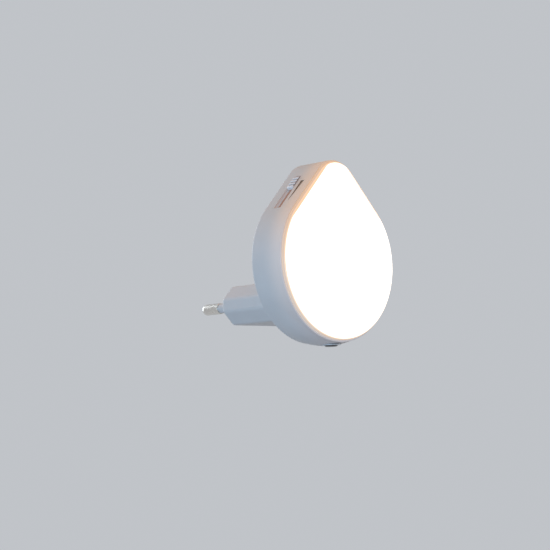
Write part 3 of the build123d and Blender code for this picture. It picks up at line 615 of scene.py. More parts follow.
def turn_edges(bm, edges, centre_z, angle, steps):
    """Spin edges about an axis along Y and return the edges at the far end."""
    # A dict keeps the vertices in order, so that every run gives the same mesh
    verts = dict.fromkeys(vert for edge in edges for vert in edge.verts)
    made = bmesh.ops.spin(
        bm, geom=[*verts, *edges], cent=(0, 0, centre_z), axis=(0, 1, 0), angle=angle, steps=steps
    )["geom_last"]
    return of_type(made, bmesh.types.BMEdge)


def carry_round(bm):
    """Carry the drawn section once round the drop and close it."""
    edges = turn_edges(bm, bm.edges[:], axis_z, math.pi + 2 * lean, ROUND_STEPS)
    edges = slide_edges(bm, edges, flank_up * flank_length)
    edges = turn_edges(bm, edges, tip_z, math.pi - 2 * lean, TIP_STEPS)
    slide_edges(bm, edges, Vector((flank_up.x, 0, -flank_up.z)) * flank_length)
    bmesh.ops.remove_doubles(bm, verts=bm.verts, dist=MERGE)
    openings = [edge for edge in bm.edges if edge.is_boundary]
    if openings:
        bmesh.ops.holes_fill(bm, edges=openings, sides=0)
    bmesh.ops.recalc_face_normals(bm, faces=bm.faces)


# %% [markdown]
# Small shapes to cut with
#
# Recesses and holes are cut with plain closed shapes: a block with rounded corners, a prism from a few corner
# points and a cylinder along any direction. On the flank, a place is given by three distances from its foot:
# up the flank, towards the back and out of the flank.

# %% Places on the flank
knob_low, knob_high = node_box("slider_knob")
slot_station = -(knob_low.y + knob_high.y) / 2
flank_foot = Vector((-body_radius * math.cos(lean), -slot_station, axis_z + body_radius * math.sin(lean)))
to_back = Vector((0, 1, 0))


def flank_point(up, rear, out):
    """The point at three distances from the flank's foot."""
    return flank_foot + flank_up * up + to_back * rear + flank_out * out


def on_flank(point):
    """The three distances of a point."""
    offset = point - flank_foot
    return offset.dot(flank_up), offset.dot(to_back), offset.dot(flank_out)


def flank_frame(up, rear, out):
    """A matrix at such a point, whose x runs up the flank, y to the back and z out of the flank."""
    turn = Matrix((flank_up, to_back, flank_out)).transposed()
    return Matrix.Translation(flank_point(up, rear, out)) @ turn.to_4x4()


print("slider at station", round(slot_station, 2))

# %% Blocks, prisms and cylinders
BLOCK_CORNER_STEPS = 8
CYLINDER_STEPS = 96


def block(size, matrix, corner=0.0):
    """A closed block about a matrix's origin; corner rounds the four edges along its z."""
    bm = bmesh.new()
    bmesh.ops.create_cube(bm, size=1.0)
    bmesh.ops.scale(bm, vec=size, verts=bm.verts)
    if corner:
        upright = [edge for edge in bm.edges if abs(edge.verts[0].co.z - edge.verts[1].co.z) > MERGE]
        soften(bm, upright, corner, BLOCK_CORNER_STEPS)
    bmesh.ops.transform(bm, matrix=matrix, verts=bm.verts)
    return bm


def prism(corners, offset):
    """A closed prism: a face through the corners, extruded by an offset."""
    bm = bmesh.new()
    side = bm.faces.new([bm.verts.new(corner) for corner in corners])
    made = bmesh.ops.extrude_face_region(bm, geom=[side])["geom"]
    bmesh.ops.translate(bm, vec=offset, verts=of_type(made, bmesh.types.BMVert))
    bmesh.ops.recalc_face_normals(bm, faces=bm.faces)
    return bm


def cylinder(start, along, length, radius):
    """A closed cylinder from a point along a direction."""
    bm = bmesh.new()
    bmesh.ops.create_cone(
        bm, cap_ends=True, segments=CYLINDER_STEPS, radius1=radius, radius2=radius, depth=length
    )
    turn = Vector((0, 0, 1)).rotation_difference(along).to_matrix().to_4x4()
    place = Matrix.Translation(Vector(start) + Vector(along).normalized() * (length / 2))
    bmesh.ops.transform(bm, matrix=place @ turn, verts=bm.verts)
    return bm


# %% [markdown]
# Turned shapes
#
# Pins, their holes, sleeves, screws and the sensor's ring and lens are round about an axis. Each is half a
# section, drawn beside its axis and spun a full turn, as on a lathe. A full spin merges its last step into
# the first. Where a section has a long arc, a single vertex is spun about the arc's centre first, and its
# trail is the arc.

# %% Spin a half section about any axis
TURN_STEPS = 72


def full_turn(bm, foot, along, steps=TURN_STEPS):
    """Spin everything in a bmesh once round an axis and close it."""
    geom = [*bm.verts, *bm.edges]
    bmesh.ops.spin(bm, geom=geom, cent=foot, axis=along, angle=math.tau, steps=steps, use_merge=True)
    bmesh.ops.remove_doubles(bm, verts=bm.verts, dist=MERGE)
    bmesh.ops.recalc_face_normals(bm, faces=bm.faces)


def turned(corners, foot, along, joined=False):
    """Spin (radius, distance along the axis, corner radius) points a full turn about an axis."""
    along = Vector(along).normalized()
    aside = along.orthogonal().normalized()

    def beside_axis(radius, distance):
        return Vector(foot) + along * distance + aside * radius

    bm = bmesh.new()
    draw_outline(bm, corners, beside_axis, joined)
    full_turn(bm, foot, along)
    return bm


def arc(bm, start, centre, axis, angle, steps):
    """Draw an arc by spinning a vertex, and return its first and last vertex."""
    first = bm.verts.new(start)
    made = bmesh.ops.spin(bm, geom=[first], cent=centre, axis=axis, angle=angle, steps=steps)
    return first, made["geom_last"][0]


# %% [markdown]
# The housing ring
#
# On the real lamp this is one moulding: the drop-shaped wall, a step at the back for the rear cover, a groove
# for the opal front's snap bead, three screw bosses, the shallow slider recess with its slit, an engraved
# wedge that says which way is brighter, and a slight swell of the underside round the hole of the sensor.
# The ring is one carried section. Bosses and swell are joined to it. The recess, slit, wedge and hole are cut
# afterwards, and the recess gets the small edge radius that a mould leaves, because it catches the light.

# %% Carry the ring's section round
wall = 2.0
back_round = 0.6
front_round = 0.25
cover_ledge = 1.0
cover_thickness = 2.0
bead_width = 0.8
bead_gap = 0.1
bead_inset = 1.8

skirt_end = -opal_high.y
bead_start = (skirt_end + front_edge - bead_width) / 2
groove_start = bead_start - bead_gap
groove_end = bead_start + bead_width + bead_gap
cover_inside = back + cover_thickness

ring = bmesh.new()
draw_outline(
    ring,
    [
        (0, back, back_round),
        (0, front_edge, front_round),
        (wall, front_edge, 0),
        (wall, groove_end, 0),
        (bead_inset - bead_gap, groove_end, 0),
        (bead_inset - bead_gap, groove_start, 0),
        (wall, groove_start, 0),
        (wall, cover_inside, 0),
        (cover_ledge, cover_inside, 0),
        (cover_ledge, back, 0),
    ],
    flank_section,
)
carry_round(ring)
print("ring from", round(back, 2), "to", round(front_edge, 2), "mm,", len(ring.faces), "faces")

# %% Spin the swell of the underside
swell_rise = 0.9
swell_inset = 1.0
swell_sink = 0.1
swell_steps = 20
swell_turns = 220

swell_radius = body_radius - swell_inset
swell_half = (front_edge - back - back_round - front_round) / 2
swell_middle = back + back_round + swell_half
swell_bottom = axis_z - body_radius - swell_rise
swell_sag = swell_rise + swell_sink
arc_radius = (swell_half**2 + swell_sag**2) / (2 * swell_sag)
swell_axis = Vector((0, -swell_middle, swell_bottom + swell_radius))
arc_centre = Vector((0, -swell_middle, swell_bottom + arc_radius))
arc_angle = 2 * math.asin(swell_half / arc_radius)

swell = bmesh.new()
rim_start = Vector((0, -swell_middle - swell_half, swell_bottom + swell_sag))
ends = arc(swell, rim_start, arc_centre, (1, 0, 0), arc_angle, swell_steps)
for end in ends:
    swell.edges.new((end, swell.verts.new((0, end.co.y, swell_axis.z))))
full_turn(swell, swell_axis, (0, 1, 0), swell_turns)
print("swell reaches", round(swell_bottom, 2), "mm")

# %% Hollow the swell and join it to the ring
# The swell's inside ends within the ring's wall, clear of the step for the cover
swell_root = cover_ledge / 2
open_inset = 6.0

core = bmesh.new()
draw_outline(
    core,
    [
        (open_inset, back, 0),
        (swell_root, back, 0),
        (swell_root, front_edge, 0),
        (open_inset, front_edge, 0),
    ],
    flank_section,
    joined=False,
)
carry_round(core)
combine(swell, core, "DIFFERENCE")
combine(ring, swell, "UNION")
print("ring with its swell:", len(ring.faces), "faces")

# %% Join the screw bosses
boss_radius = 2.5
boss_bite = 0.5
boss_angle = math.radians(12)
screw_radius = 1.1
board_thickness = 1.0
overcut = 1.0

board_back = skirt_end - board_thickness
boss_length = board_back - cover_inside
boss_reach = body_radius - wall - boss_radius + boss_bite
boss_x = boss_reach * math.cos(boss_angle)
boss_z = axis_z - boss_reach * math.sin(boss_angle)
boss_top = ring_high.z - wall - boss_radius + boss_bite
boss_places = [(-boss_x, boss_z), (boss_x, boss_z), (0, boss_top)]
inwards = Vector((0, -1, 0))
for x, z in boss_places:
    boss_foot = Vector((x, -cover_inside, z))
    combine(ring, cylinder(boss_foot, inwards, boss_length, boss_radius), "UNION")
    pilot = cylinder(boss_foot - inwards * overcut, inwards, boss_length + 2 * overcut, screw_radius)
    combine(ring, pilot, "DIFFERENCE")
print(len(boss_places), "bosses", round(boss_length, 2), "mm long")

# %% Cut the recess, the slit and the sensor hole
slot_length = 16.0
slot_width = 3.3
slot_depth = 0.8
slot_corner = 0.3
slot_drop = 1.47
slit_length = 14.6
slit_width = 1.5
sensor_clear = 0.2

slot_middle = flank_length / 2 - slot_drop
recess = block((slot_length, slot_width, 2 * slot_depth), flank_frame(slot_middle, 0, 0), slot_corner)
combine(ring, recess, "DIFFERENCE")
slit_size = (slit_length, slit_width, 4 * wall)
slit = block(slit_size, flank_frame(slot_middle, 0, -wall), slit_width / 2 - MERGE)
combine(ring, slit, "DIFFERENCE")

bezel_low, bezel_high = node_box("sensor_bezel")
bezel_radius = (bezel_high.x - bezel_low.x) / 2
sensor_centre = (bezel_low + bezel_high) / 2
hole_foot = (0, sensor_centre.y, ring_low.z - wall)
hole_radius = bezel_radius + sensor_clear
combine(ring, cylinder(hole_foot, Vector((0, 0, 1)), 4 * wall, hole_radius), "DIFFERENCE")
print("slot middle", round(slot_middle, 2), "mm up the flank, sensor hole radius", round(hole_radius, 2))

# %% Cut the wedge mark
mark_rise = 3.2
mark_length = 9.9
mark_width = 1.55
mark_tip = 0.12
mark_gap = 1.5
mark_depth = 0.25

mark_low = slot_middle - slot_length / 2 + mark_rise
mark_near = -(slot_width / 2 + mark_gap)
mark_corners = [
    (mark_low, mark_near),
    (mark_low + mark_length, mark_near),
    (mark_low + mark_length, mark_near - mark_width),
    (mark_low, mark_near - mark_tip),
]
mark = prism([flank_point(up, rear, -mark_depth) for up, rear in mark_corners], flank_out * 2 * mark_depth)
combine(ring, mark, "DIFFERENCE")
print("wedge", mark_length, "mm long and", mark_depth, "mm deep")

# %% Round the rim of the recess
edge_round = 0.14


def is_rim(edge):
    """Whether an edge is the outer rim of the recess."""
    places = [on_flank(vert.co) for vert in edge.verts]
    inside = all(abs(rear) < slot_width / 2 + NEAR for up, rear, out in places)
    level = all(abs(out) < NEAR for up, rear, out in places)
    return inside and level and is_sharp(edge)


rim = [edge for edge in ring.edges if is_rim(edge)]
print(len(rim), "edges round the recess")
soften(ring, rim, edge_round)

# %% Give the wedge its paint, and the recess and the slit their painted shade and glow
ring_finishes = (ring_plastic, mark_paint, recess_painted_shade, slit_painted_shade)
mark_middle = mark_near - mark_width / 2
upright_limit = 0.5

for polygon in ring.faces:
    up, rear, out = on_flank(polygon.calc_center_median())
    if abs(up - slot_middle) >= slot_length / 2 + NEAR:
        continue
    upright = abs(polygon.normal.dot(flank_out)) < upright_limit
    in_mark = abs(rear - mark_middle) < mark_width / 2 + MERGE
    in_recess = upright and abs(rear) < slot_width / 2 + NEAR
    in_slit = upright and abs(rear) < slit_width / 2 + NEAR
    if in_mark and -mark_depth - NEAR < out < -NEAR:
        polygon.material_index = ring_finishes.index(mark_paint)
    if in_recess and -slot_depth < out < -edge_round:
        polygon.material_index = ring_finishes.index(recess_painted_shade)
    if in_slit and -wall < out < -slot_depth:
        polygon.material_index = ring_finishes.index(slit_painted_shade)
make_piece(ring, "housing_moulding", "lamp", "white_plastic", ["housing_shell"], *ring_finishes)

# %% [markdown]
# The opal front
#
# A cap of milky plastic rests on the ring's front edge and snaps in with a skirt. Its rim is rounded, and
# light fills it evenly. It is the same carried section, open towards the middle, where two flat faces close
# it: one in front and one behind. A notch in the skirt leaves room for the sensor.

# %% Carry the opal front's section round
opal_inset = 0.6
opal_round = 1.0
opal_thickness = 1.6
skirt_inset = 2.1
skirt_thickness = 1.2

opal = bmesh.new()
draw_outline(
    opal,
    [
        (open_inset, face - opal_thickness, 0),
        (skirt_inset + skirt_thickness, face - opal_thickness, 0),
        (skirt_inset + skirt_thickness, skirt_end, 0),
        (skirt_inset, skirt_end, 0),
        (skirt_inset, bead_start, 0),
        (bead_inset, bead_start, 0),
        (bead_inset, bead_start + bead_width, 0),
        (skirt_inset, bead_start + bead_width, 0),
        (skirt_inset, front_edge, 0),
        (opal_inset, front_edge, 0),
        (opal_inset, face, opal_round),
        (open_inset, face, 0),
    ],
    flank_section,
    joined=False,
)
carry_round(opal)
print("opal front", round(face - front_edge, 2), "mm proud of the ring")

# %% Cut the notch for the sensor
notch_gap = 0.5

notch_side = 2 * (bezel_radius + notch_gap)
notch_rise = 2 * (skirt_inset + skirt_thickness + notch_gap)
notch_place = Matrix.Translation((0, sensor_centre.y, axis_z - body_radius))
combine(opal, block((notch_side, notch_side, notch_rise), notch_place), "DIFFERENCE")
make_piece(opal, "opal_front", "lamp", "opal_diffuser", ["front_diffuser"], opal_plastic)

# %% [markdown]
# The thumb piece
#
# The slider's knob is a small block with a plain lower end and three ribs for the thumb. Its long top edges
# are rounded, so the ribs wrap over the sides and their ends turn down. Grooves cut across a rounded block
# give just that. Below, a stem goes through the slit and grips the lever of the potentiometer. This piece
# rides on the slider, the only body that moves. Its plastic is given a whiter colour than the ring and is
# smoother, and the grooves between the ribs get a darker colour, painted shade, so that the ribs stand out.

# %% Round a block
thumb_length = 5.4
thumb_width = 2.7
thumb_proud = 0.5
thumb_end_gap = 0.85
thumb_floor_gap = 0.15
thumb_round = 0.4
end_round = 0.45
round_steps = 6

thumb_base = thumb_floor_gap - slot_depth
thumb_high = slot_middle + slot_length / 2 - thumb_end_gap
thumb_low = thumb_high - thumb_length
thumb_middle = (thumb_low + thumb_high) / 2
thumb_size = (thumb_length, thumb_width, thumb_proud - thumb_base)
thumb = block(thumb_size, flank_frame(thumb_middle, 0, (thumb_proud + thumb_base) / 2))


def is_long_top(edge):
    """Whether an edge of the block runs along its top."""
    ends = [on_flank(vert.co) for vert in edge.verts]
    along = abs(ends[0][0] - ends[1][0]) > thumb_length / 2
    return along and all(out > 0 for up, rear, out in ends)


def is_lower_end(edge):
    """Whether an edge runs across the top of the block's lower end."""
    ends = [on_flank(vert.co) for vert in edge.verts]
    return all(up < thumb_low + NEAR and out > thumb_proud - NEAR for up, rear, out in ends)


soften(thumb, [edge for edge in thumb.edges if is_lower_end(edge)], end_round, round_steps)
soften(thumb, [edge for edge in thumb.edges if is_long_top(edge)], thumb_round, round_steps)
print("thumb piece from", round(thumb_low, 2), "to", round(thumb_high, 2), "mm up the flank")

# %% Cut the grooves between the ribs
rib_count = 3
rib_pitch = 1.33
rib_round = 0.07
rib_round_steps = 2
groove_top = 0.7
groove_floor = 0.3
groove_depth = 0.45
groove_over = 0.5


def groove(low_floor, high_floor, low_top, high_top):
    """A closed trapezium across the thumb piece whose slopes go on past the top by a share of the depth."""
    floor_out = thumb_proud - groove_depth
    top_out = floor_out + (1 + groove_over) * groove_depth
    corners = [
        (low_floor, floor_out),
        (high_floor, floor_out),
        (high_top + (high_top - high_floor) * groove_over, top_out),
        (low_top + (low_top - low_floor) * groove_over, top_out),
    ]
    return prism([flank_point(up, -thumb_width, out) for up, out in corners], to_back * 2 * thumb_width)


half_floor = groove_floor / 2
half_top = groove_top / 2
for number in range(rib_count):
    middle = thumb_low + rib_pitch * (number + 1)
    cut = groove(middle - half_floor, middle + half_floor, middle - half_top, middle + half_top)
    combine(thumb, cut, "DIFFERENCE")
last_rib = thumb_low + rib_pitch * (rib_count + 1) - half_top
end_floor = last_rib + (groove_top - groove_floor) / 2
end_cut = thumb_high + overcut
combine(thumb, groove(end_floor, end_cut, last_rib, end_cut), "DIFFERENCE")
soften(thumb, [edge for edge in thumb.edges if is_sharp(edge)], rib_round, rib_round_steps)
print(rib_count, "ribs", rib_pitch, "mm apart")

# %% Add the stem with its socket for the lever
stem_length = 4.0
stem_width = 1.2
stem_end = -3.9
stem_overlap = 0.2
socket_length = 1.92
socket_width = 0.62
socket_end = -2.24

stem_top = thumb_base + stem_overlap
stem_size = (stem_length, stem_width, stem_top - stem_end)
stem_place = flank_frame(thumb_middle, 0, (stem_top + stem_end) / 2)
combine(thumb, block(stem_size, stem_place, stem_width / 2 - MERGE), "UNION")
socket_size = (socket_length, socket_width, 2 * (socket_end - stem_end))
combine(thumb, block(socket_size, flank_frame(thumb_middle, 0, stem_end)), "DIFFERENCE")
print("stem reaches", -stem_end, "mm into the body")

# %% Give the thumb piece its finish, with painted shade in the grooves between the ribs
THUMB_WHITE = (0.88, 0.9, 0.94)
PAINTED_GROOVE_SHADE = (0.36, 0.26, 0.2, 1.0)
groove_shade_low = -0.08
groove_shade_full = 0.02
groove_shade_fades = 0.12
groove_shade_ends = 0.44
groove_shade_edge = 0.2

plain_end = thumb_low + rib_pitch - groove_top
thumb_plastic = moulded("thumb_plastic", THUMB_WHITE, roughness=0.34)


def thumb_distance(direction):
    """A shader value: the distance from the flank's foot along a direction, in millimetres."""
    inputs = {0: thumb_plastic.place(), 1: direction}
    along = thumb_plastic.node("ShaderNodeVectorMath", {"operation": "DOT_PRODUCT"}, inputs, "Value")
    return along * (1 / MM) - flank_foot.dot(direction)


# The darker brown colour low in the grooves between the ribs is painted shade
rib_height = thumb_distance(flank_out)
below_top = 1 - thumb_plastic.ramp(rib_height, groove_shade_fades, groove_shade_ends)
in_groove = thumb_plastic.ramp(rib_height, groove_shade_low, groove_shade_full) * below_top
painted_groove_shade_mask = in_groove * thumb_plastic.ramp(thumb_distance(flank_up), plain_end, plain_end + groove_shade_edge)
thumb_plastic.set(base_color=thumb_plastic.mix(painted_groove_shade_mask, opaque(THUMB_WHITE), PAINTED_GROOVE_SHADE))
make_piece(thumb, "thumb_piece", "slider", "white_plastic", ["slider_knob"], thumb_plastic)

# %% [markdown]
# The light sensor
#
# A ring in the underside holds a smoky lens, through which a sensor tells day from night. The lens is a low
# button with a wide rounded edge. Both are turned about the sensor's own axis. Where the ring goes into the
# hole, its plastic darkens with height into a dark line round it, which is painted shade.

# %% Turn the sensor's ring
lens_gap = 0.05
lens_seat = 0.5
ring_round = 0.12
ring_lip = 0.15

lens_low, lens_high = node_box("sensor_window")
lens_radius = (lens_high.x - lens_low.x) / 2
sensor_foot = Vector((0, sensor_centre.y, 0))
ring_corners = [
    (lens_radius - lens_seat, bezel_high.z, 0),
    (bezel_radius, bezel_high.z, 0),
    (bezel_radius, bezel_low.z - ring_lip, ring_round),
    (lens_radius + lens_gap, bezel_low.z - ring_lip, ring_round),
    (lens_radius + lens_gap, lens_high.z, 0),
    (lens_radius - lens_seat, lens_high.z, 0),
]
sensor_ring = turned(ring_corners, sensor_foot, (0, 0, 1), joined=True)
print("sensor ring radius", round(bezel_radius, 2), "lens radius", round(lens_radius, 2))

# %% Paint shade on the root of the ring
ROOT_SHADE = (0.22, 0.22, 0.23, 1.0)
root_start = 0.06
root_full = 0.14

sensor_plastic = moulded("sensor_plastic", WHITE, SATIN)
sensor_z = sensor_plastic.axis("Z")
# The darkening of the ring towards the hole is painted shade
root = sensor_plastic.ramp(sensor_z, bezel_low.z + root_start, bezel_low.z + root_full)
sensor_plastic.set(base_color=sensor_plastic.mix(root, opaque(WHITE), ROOT_SHADE))
make_piece(sensor_ring, "sensor_ring", "lamp", "white_plastic", ["sensor_bezel"], sensor_plastic)

# %% Turn the lens
lens_crown = 0.12
lens_edge = 0.8

lens_corners = [
    (0, lens_high.z, 0),
    (lens_radius, lens_high.z, 0),
    (lens_radius, lens_low.z + lens_crown, lens_edge),
    (0, lens_low.z, 0),
]
lens = turned(lens_corners, sensor_foot, (0, 0, 1))
make_piece(lens, "sensor_lens", "lamp", "smoky_window", ["sensor_window"], lens_plastic)

# %% [markdown]
# The rear cover with the plug
#
# The back plate lies flush in the ring's step, and the plug body grows out of it: a flat block with cut
# corners, as the standard contour of a small two-pin plug asks. It is hollow, because a part of the circuit
# sits in it. The plate is a carried section, the plug a cube whose edges are bevelled in three steps: a wide
# cut at the corners, a rounding of that cut, and a small radius round the face.

# %% Carry the plate's section round
cover_gap = 0.1
plate_edge = 0.15

cover_inset = cover_ledge + cover_gap
cover = bmesh.new()
draw_outline(
    cover,
    [
        (open_inset, back, 0),
        (cover_inset, back, plate_edge),
        (cover_inset, cover_inside, 0),
        (open_inset, cover_inside, 0),
    ],
    flank_section,
    joined=False,
)
carry_round(cover)
print("plate", cover_thickness, "mm thick")

# %% Bevel the plug body and join it
plug_width = 35.3
plug_thickness = 13.7
plug_wall = 1.8
plug_face_wall = 3.0
plug_face_round = 0.8
face_round_steps = 5
corner_cut = 4.6
corner_round = 2.0
inner_round = 0.5
join_overlap = 0.5


def plug_block(inset, start, end, rounding, face_round=0.0):
    """The plug's flat block with cut and rounded corners, between two stations."""
    bm = bmesh.new()
    bmesh.ops.create_cube(bm, size=1.0)
    size = (plug_width - 2 * inset, end - start, plug_thickness - 2 * inset)
    bmesh.ops.scale(bm, vec=size, verts=bm.verts)
    bmesh.ops.translate(bm, vec=(0, -(start + end) / 2, 0), verts=bm.verts)
    # An inset leaves the wall as thick at the 45 degree cut as on the flat sides
    cut = corner_cut - inset * (2 - math.sqrt(2))
    for width, segments in ((cut, 1), (rounding * math.tan(math.pi / 8), round_steps)):
        along = [e for e in bm.edges if abs(e.verts[0].co.y - e.verts[1].co.y) > (end - start) / 2]
        soften(bm, along, width, segments)
    if face_round:
        rim_edges = [e for e in bm.edges if all(abs(vert.co.y + start) < MERGE for vert in e.verts)]
        soften(bm, rim_edges, face_round, face_round_steps)
    return bm


combine(cover, plug_block(0, 0, back + join_overlap, corner_round, plug_face_round), "UNION")
combine(cover, plug_block(plug_wall, plug_face_wall, cover_inside + overcut, inner_round), "DIFFERENCE")
print("plug", plug_width, "by", plug_thickness, "mm")

# %% Cut the pin holes
sleeve_radius = 1.75
sleeve_sink = 2.0
core_radius = 1.4
hole_gap = 0.05
hole_chamfer = 0.4
hole_lead = 2 * hole_chamfer

pins = {mount["name"]: mount for mount in frame["record"]["mounts"] if mount["kind"] == "pin"}


def pin_axis(name):
    """The point where a pin's axis meets the plug's face, and the axis."""
    along = Vector(pins[name]["axis"]).normalized()
    middle = Vector(pins[name]["pos_m"]) / MM
    return middle - along * (middle.y / along.y), along


sleeve_hole = sleeve_radius + hole_gap
core_hole = core_radius + hole_gap
hole_corners = [
    (0, -2 * plug_face_wall, 0),
    (core_hole, -2 * plug_face_wall, 0),
    (core_hole, -sleeve_sink, 0),
    (sleeve_hole, -sleeve_sink, 0),
    (sleeve_hole, -hole_chamfer, 0),
    (sleeve_hole + hole_lead, hole_chamfer, 0),
    (0, hole_chamfer, 0),
]
for name in pins:
    combine(cover, turned(hole_corners, *pin_axis(name)), "DIFFERENCE")
print("holes for", list(pins))

# %% Cut the screw holes
head_radius = 2.0
head_height = 1.0
head_gap = 0.15

for x, z in boss_places:
    start = Vector((x, -back + overcut, z))
    shank_hole = cylinder(start, inwards, cover_thickness + 2 * overcut, screw_radius + head_gap)
    combine(cover, shank_hole, "DIFFERENCE")
    head_hole = cylinder(start, inwards, overcut + head_height + head_gap, head_radius + head_gap)
    combine(cover, head_hole, "DIFFERENCE")
print(len(boss_places), "screw holes")

# %% Soften what shows of the cover and finish it
cover_edge = 0.1
cover_edge_steps = 2


def on_back(edge):
    """Whether an edge is a sharp rim on the back face of the plate."""
    return is_sharp(edge) and all(abs(vert.co.y + back) < MERGE for vert in edge.verts)


soften(cover, [edge for edge in cover.edges if on_back(edge)], cover_edge, cover_edge_steps)
make_piece(cover, "cover_moulding", "lamp", "white_plastic", ["rear_cover"], white_plastic)

# %% [markdown]
# Screws
#
# Three screws hold the cover. A pan head is a turned shape with a rounded rim, and its cross recess is two
# narrow blocks cut from it. One screw is made and then copied to the three places.

# %% Turn a screw and cut its cross
screw_length = 6.5
screw_point = 0.55
head_round = 0.45
cross_width = 0.6
cross_length = 2.2
cross_depth = 0.5

screw_place = Vector((0, -(back + head_gap), 0))
screw = turned(
    [
        (0, 0, 0),
        (head_radius, 0, head_round),
        (head_radius, head_height, 0),
        (screw_radius, head_height, 0),
        (screw_radius, head_height + screw_length - screw_point, 0),
        (screw_radius - screw_point, head_height + screw_length, 0),
        (0, head_height + screw_length, 0),
    ],
    screw_place,
    inwards,
)
for width, height in ((cross_length, cross_width), (cross_width, cross_length)):
    cross = block((width, 2 * cross_depth, height), Matrix.Translation(screw_place))
    combine(screw, cross, "DIFFERENCE")
print("screw", len(screw.faces), "faces")

# %% Copy it to the three places
first_screw = [*screw.verts, *screw.edges, *screw.faces]
for x, z in boss_places:
    copy = bmesh.ops.duplicate(screw, geom=first_screw)["geom"]
    bmesh.ops.translate(screw, vec=(x, 0, z), verts=of_type(copy, bmesh.types.BMVert))
bmesh.ops.delete(screw, geom=of_type(first_screw, bmesh.types.BMVert), context="VERTS")
make_piece(screw, "back_screws", "lamp", "zinc_screws", ["cover_screws"], zinc)

# %% [markdown]
# Pins and sleeves
#
# Each pin is one turned piece: a bare end with a rounded nose, a thinner core inside the insulating sleeve, a
# collar that the retainer holds and a riveted tail. The pins lean towards each other a little, so that they
# hold by spring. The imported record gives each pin's axis, and the section is spun about it.

# %% Draw the pin's section
pin_radius = 2.0
pin_length = 19.0
pin_nose = 1.6
pin_shoulder = 0.15
sleeve_length = 10.0
collar_radius = 2.5
collar_start = -3.1
collar_end = -4.3
tail_radius = 1.2
tail_start = -7.2
tail_end = -7.8
tail_head = 1.6
tail_round = 0.2

pin_corners = [
    (0, tail_end, 0),
    (tail_head, tail_end, tail_round),
    (tail_head, tail_start, 0),
    (tail_radius, tail_start, 0),
    (tail_radius, collar_end, 0),
    (collar_radius, collar_end, 0),
    (collar_radius, collar_start, 0),
    (core_radius, collar_start, 0),
    (core_radius, sleeve_length, 0),
    (pin_radius, sleeve_length, pin_shoulder),
    (pin_radius, pin_length, pin_nose),
    (0, pin_length, 0),
]
print("pin section has", len(pin_corners), "corners")

# %% Draw the sleeve's section and turn both
sleeve_gap = 0.03

sleeve_corners = [
    (core_radius + sleeve_gap, -sleeve_sink, 0),
    (sleeve_radius, -sleeve_sink, 0),
    (sleeve_radius, sleeve_length, pin_shoulder),
    (core_radius + sleeve_gap, sleeve_length, 0),
]
for name in pins:
    side = name.removeprefix("pin_")
    pin = turned(pin_corners, *pin_axis(name))
    make_piece(pin, f"contact_pin_{side}", "lamp", "nickel_pins", [f"plug_pin_{side}"], nickel)
    sleeve = turned(sleeve_corners, *pin_axis(name), joined=True)
    make_piece(sleeve, f"sleeve_{side}", "lamp", "pin_sleeves", [f"pin_sleeve_{side}"], sleeve_plastic)

# %% [markdown]
# The camera
#
# The camera stands low on the lamp's left and looks slightly up. Its place and lens were worked out from the
# outline of the drop, so the picture can be laid over the photograph.

# %% Place the camera
camera_place = Vector((-421.77, -440.99, -42.88)) * MM
camera_yaw = 44.319
camera_pitch = 5.073
camera_roll = -2.165
focal_pixels = 1703.25
picture_pixels = 550

camera_data = bpy.data.cameras.new("camera")
camera_data.sensor_fit = "HORIZONTAL"
camera_data.lens = focal_pixels / picture_pixels * camera_data.sensor_width
camera = bpy.data.objects.new("camera", camera_data)
camera.matrix_world = (
    Matrix.Translation(camera_place)
    @ Matrix.Rotation(math.radians(-camera_yaw), 4, "Z")
    @ Matrix.Rotation(math.radians(90 + camera_pitch), 4, "X")
    @ Matrix.Rotation(math.radians(camera_roll), 4, "Z")
)
scene.collection.objects.link(camera)
scene.camera = camera
print("lens", round(camera_data.lens, 2), "mm")

# %% [markdown]
# Light, floor and background
#
# The night light is on, but a part for a library is shown in plain soft light, at a level where a colour
# looks as it was chosen. The world gives most of it. Four large soft lamps give shape: a warm one from above,
# a cool one from the lower left, and two nearly white ones at the back and on the right, so that no side goes
# dull. The background is a pale colour that only the camera, reflections and transmission see. For the same
# rays the paper of the floor is lifted to about that colour. It keeps the object's shadow and fades out with
# distance, so no horizon shows.

# %% World
AMBIENT = (0.38, 0.335, 0.285, 1.0)
BACKDROP = (0.53, 0.55, 0.58, 1.0)
BACKDROP_RAYS = ("Is Camera Ray", "Is Glossy Ray", "Is Transmission Ray")


def backdrop_ray(tree):
    """1 for a ray that shows the background, and 0 for one that only gathers light."""
    camera_ray, glossy_ray, passing_ray = (
        tree.node("ShaderNodeLightPath", output=kind) for kind in BACKDROP_RAYS
    )
    return tree.node("ShaderNodeClamp", inputs={"Value": camera_ray + glossy_ray + passing_ray})


world = bpy.data.worlds.new("studio")
scene.world = world
world.use_nodes = True
sky = Tree(world.node_tree)
sky_colour = sky.mix(backdrop_ray(sky), AMBIENT, BACKDROP)
sky.plug(world.node_tree.nodes["Background"].inputs["Color"], sky_colour)
print("world lights with", AMBIENT[:3])

# %% Lamps
LAMP_SIZE = 0.8
aim_station = 30
lamp_aim = Vector((0, -aim_station, axis_z)) * MM


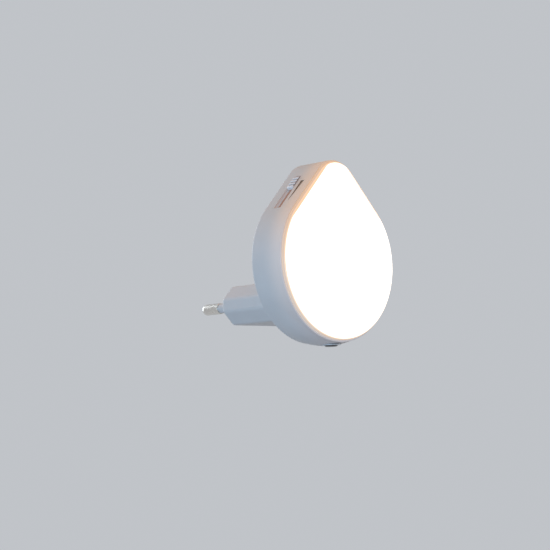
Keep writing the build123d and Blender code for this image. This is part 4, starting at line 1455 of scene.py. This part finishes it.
def soft_lamp(name, place, power, colour):
    """A large square lamp, placed in metres, that points at the middle of the part."""
    data = bpy.data.lights.new(name, "AREA")
    data.size = LAMP_SIZE
    data.energy = power
    data.color = colour
    lamp = bpy.data.objects.new(name, data)
    turn = (lamp_aim - Vector(place)).to_track_quat("-Z", "Y")
    lamp.matrix_world = Matrix.Translation(place) @ turn.to_matrix().to_4x4()
    scene.collection.objects.link(lamp)


soft_lamp("key", place=(-0.2, -0.5, 1.4), power=3.2, colour=(1.0, 0.36, 0.2))
soft_lamp("side", place=(-1.42, -0.7, -0.2), power=14.3, colour=(0.41, 0.69, 1.0))
soft_lamp("back", place=(0.1, 1.4, 0.35), power=9.0, colour=(0.85, 0.93, 1.0))
soft_lamp("right", place=(1.35, -0.3, 0.35), power=8.0, colour=(0.8, 0.9, 1.0))

# %% Floor
FLOOR_DROP = 0.25
FLOOR_RADIUS = 1.6

floor = bmesh.new()
bmesh.ops.create_circle(floor, cap_ends=True, radius=FLOOR_RADIUS, segments=CYLINDER_STEPS)
bmesh.ops.translate(floor, vec=(0, 0, -FLOOR_DROP), verts=floor.verts)
floor_mesh = bpy.data.meshes.new("floor")
floor.to_mesh(floor_mesh)
floor.free()
floor_object = bpy.data.objects.new("floor", floor_mesh)
scene.collection.objects.link(floor_object)
print("floor", FLOOR_DROP, "m below the plug's axis")

# %% Paper of the floor
PAPER = (0.32, 0.37, 0.43, 1.0)
PAPER_LIFT = (0.31, 0.31, 0.31, 1.0)
FADE_START = 0.35
FADE_END = 1.44

paper = Finish("pale_paper", base_color=PAPER, roughness=0.9)
apart = paper.node("ShaderNodeVectorMath", {"operation": "LENGTH"}, {0: paper.place()}, "Value")
paper_light = paper.mix(backdrop_ray(paper), BLACK, PAPER_LIFT)
paper.set(
    alpha=1 - paper.ramp(apart, FADE_START, FADE_END),
    emission_color=paper_light,
    emission_strength=1.0,
)
floor_mesh.materials.append(paper.material)
print("floor fades out between", FADE_START, "and", FADE_END, "m")

# %% Set the view transform
scene.view_settings.view_transform = "Standard"
print("view transform:", scene.view_settings.view_transform)
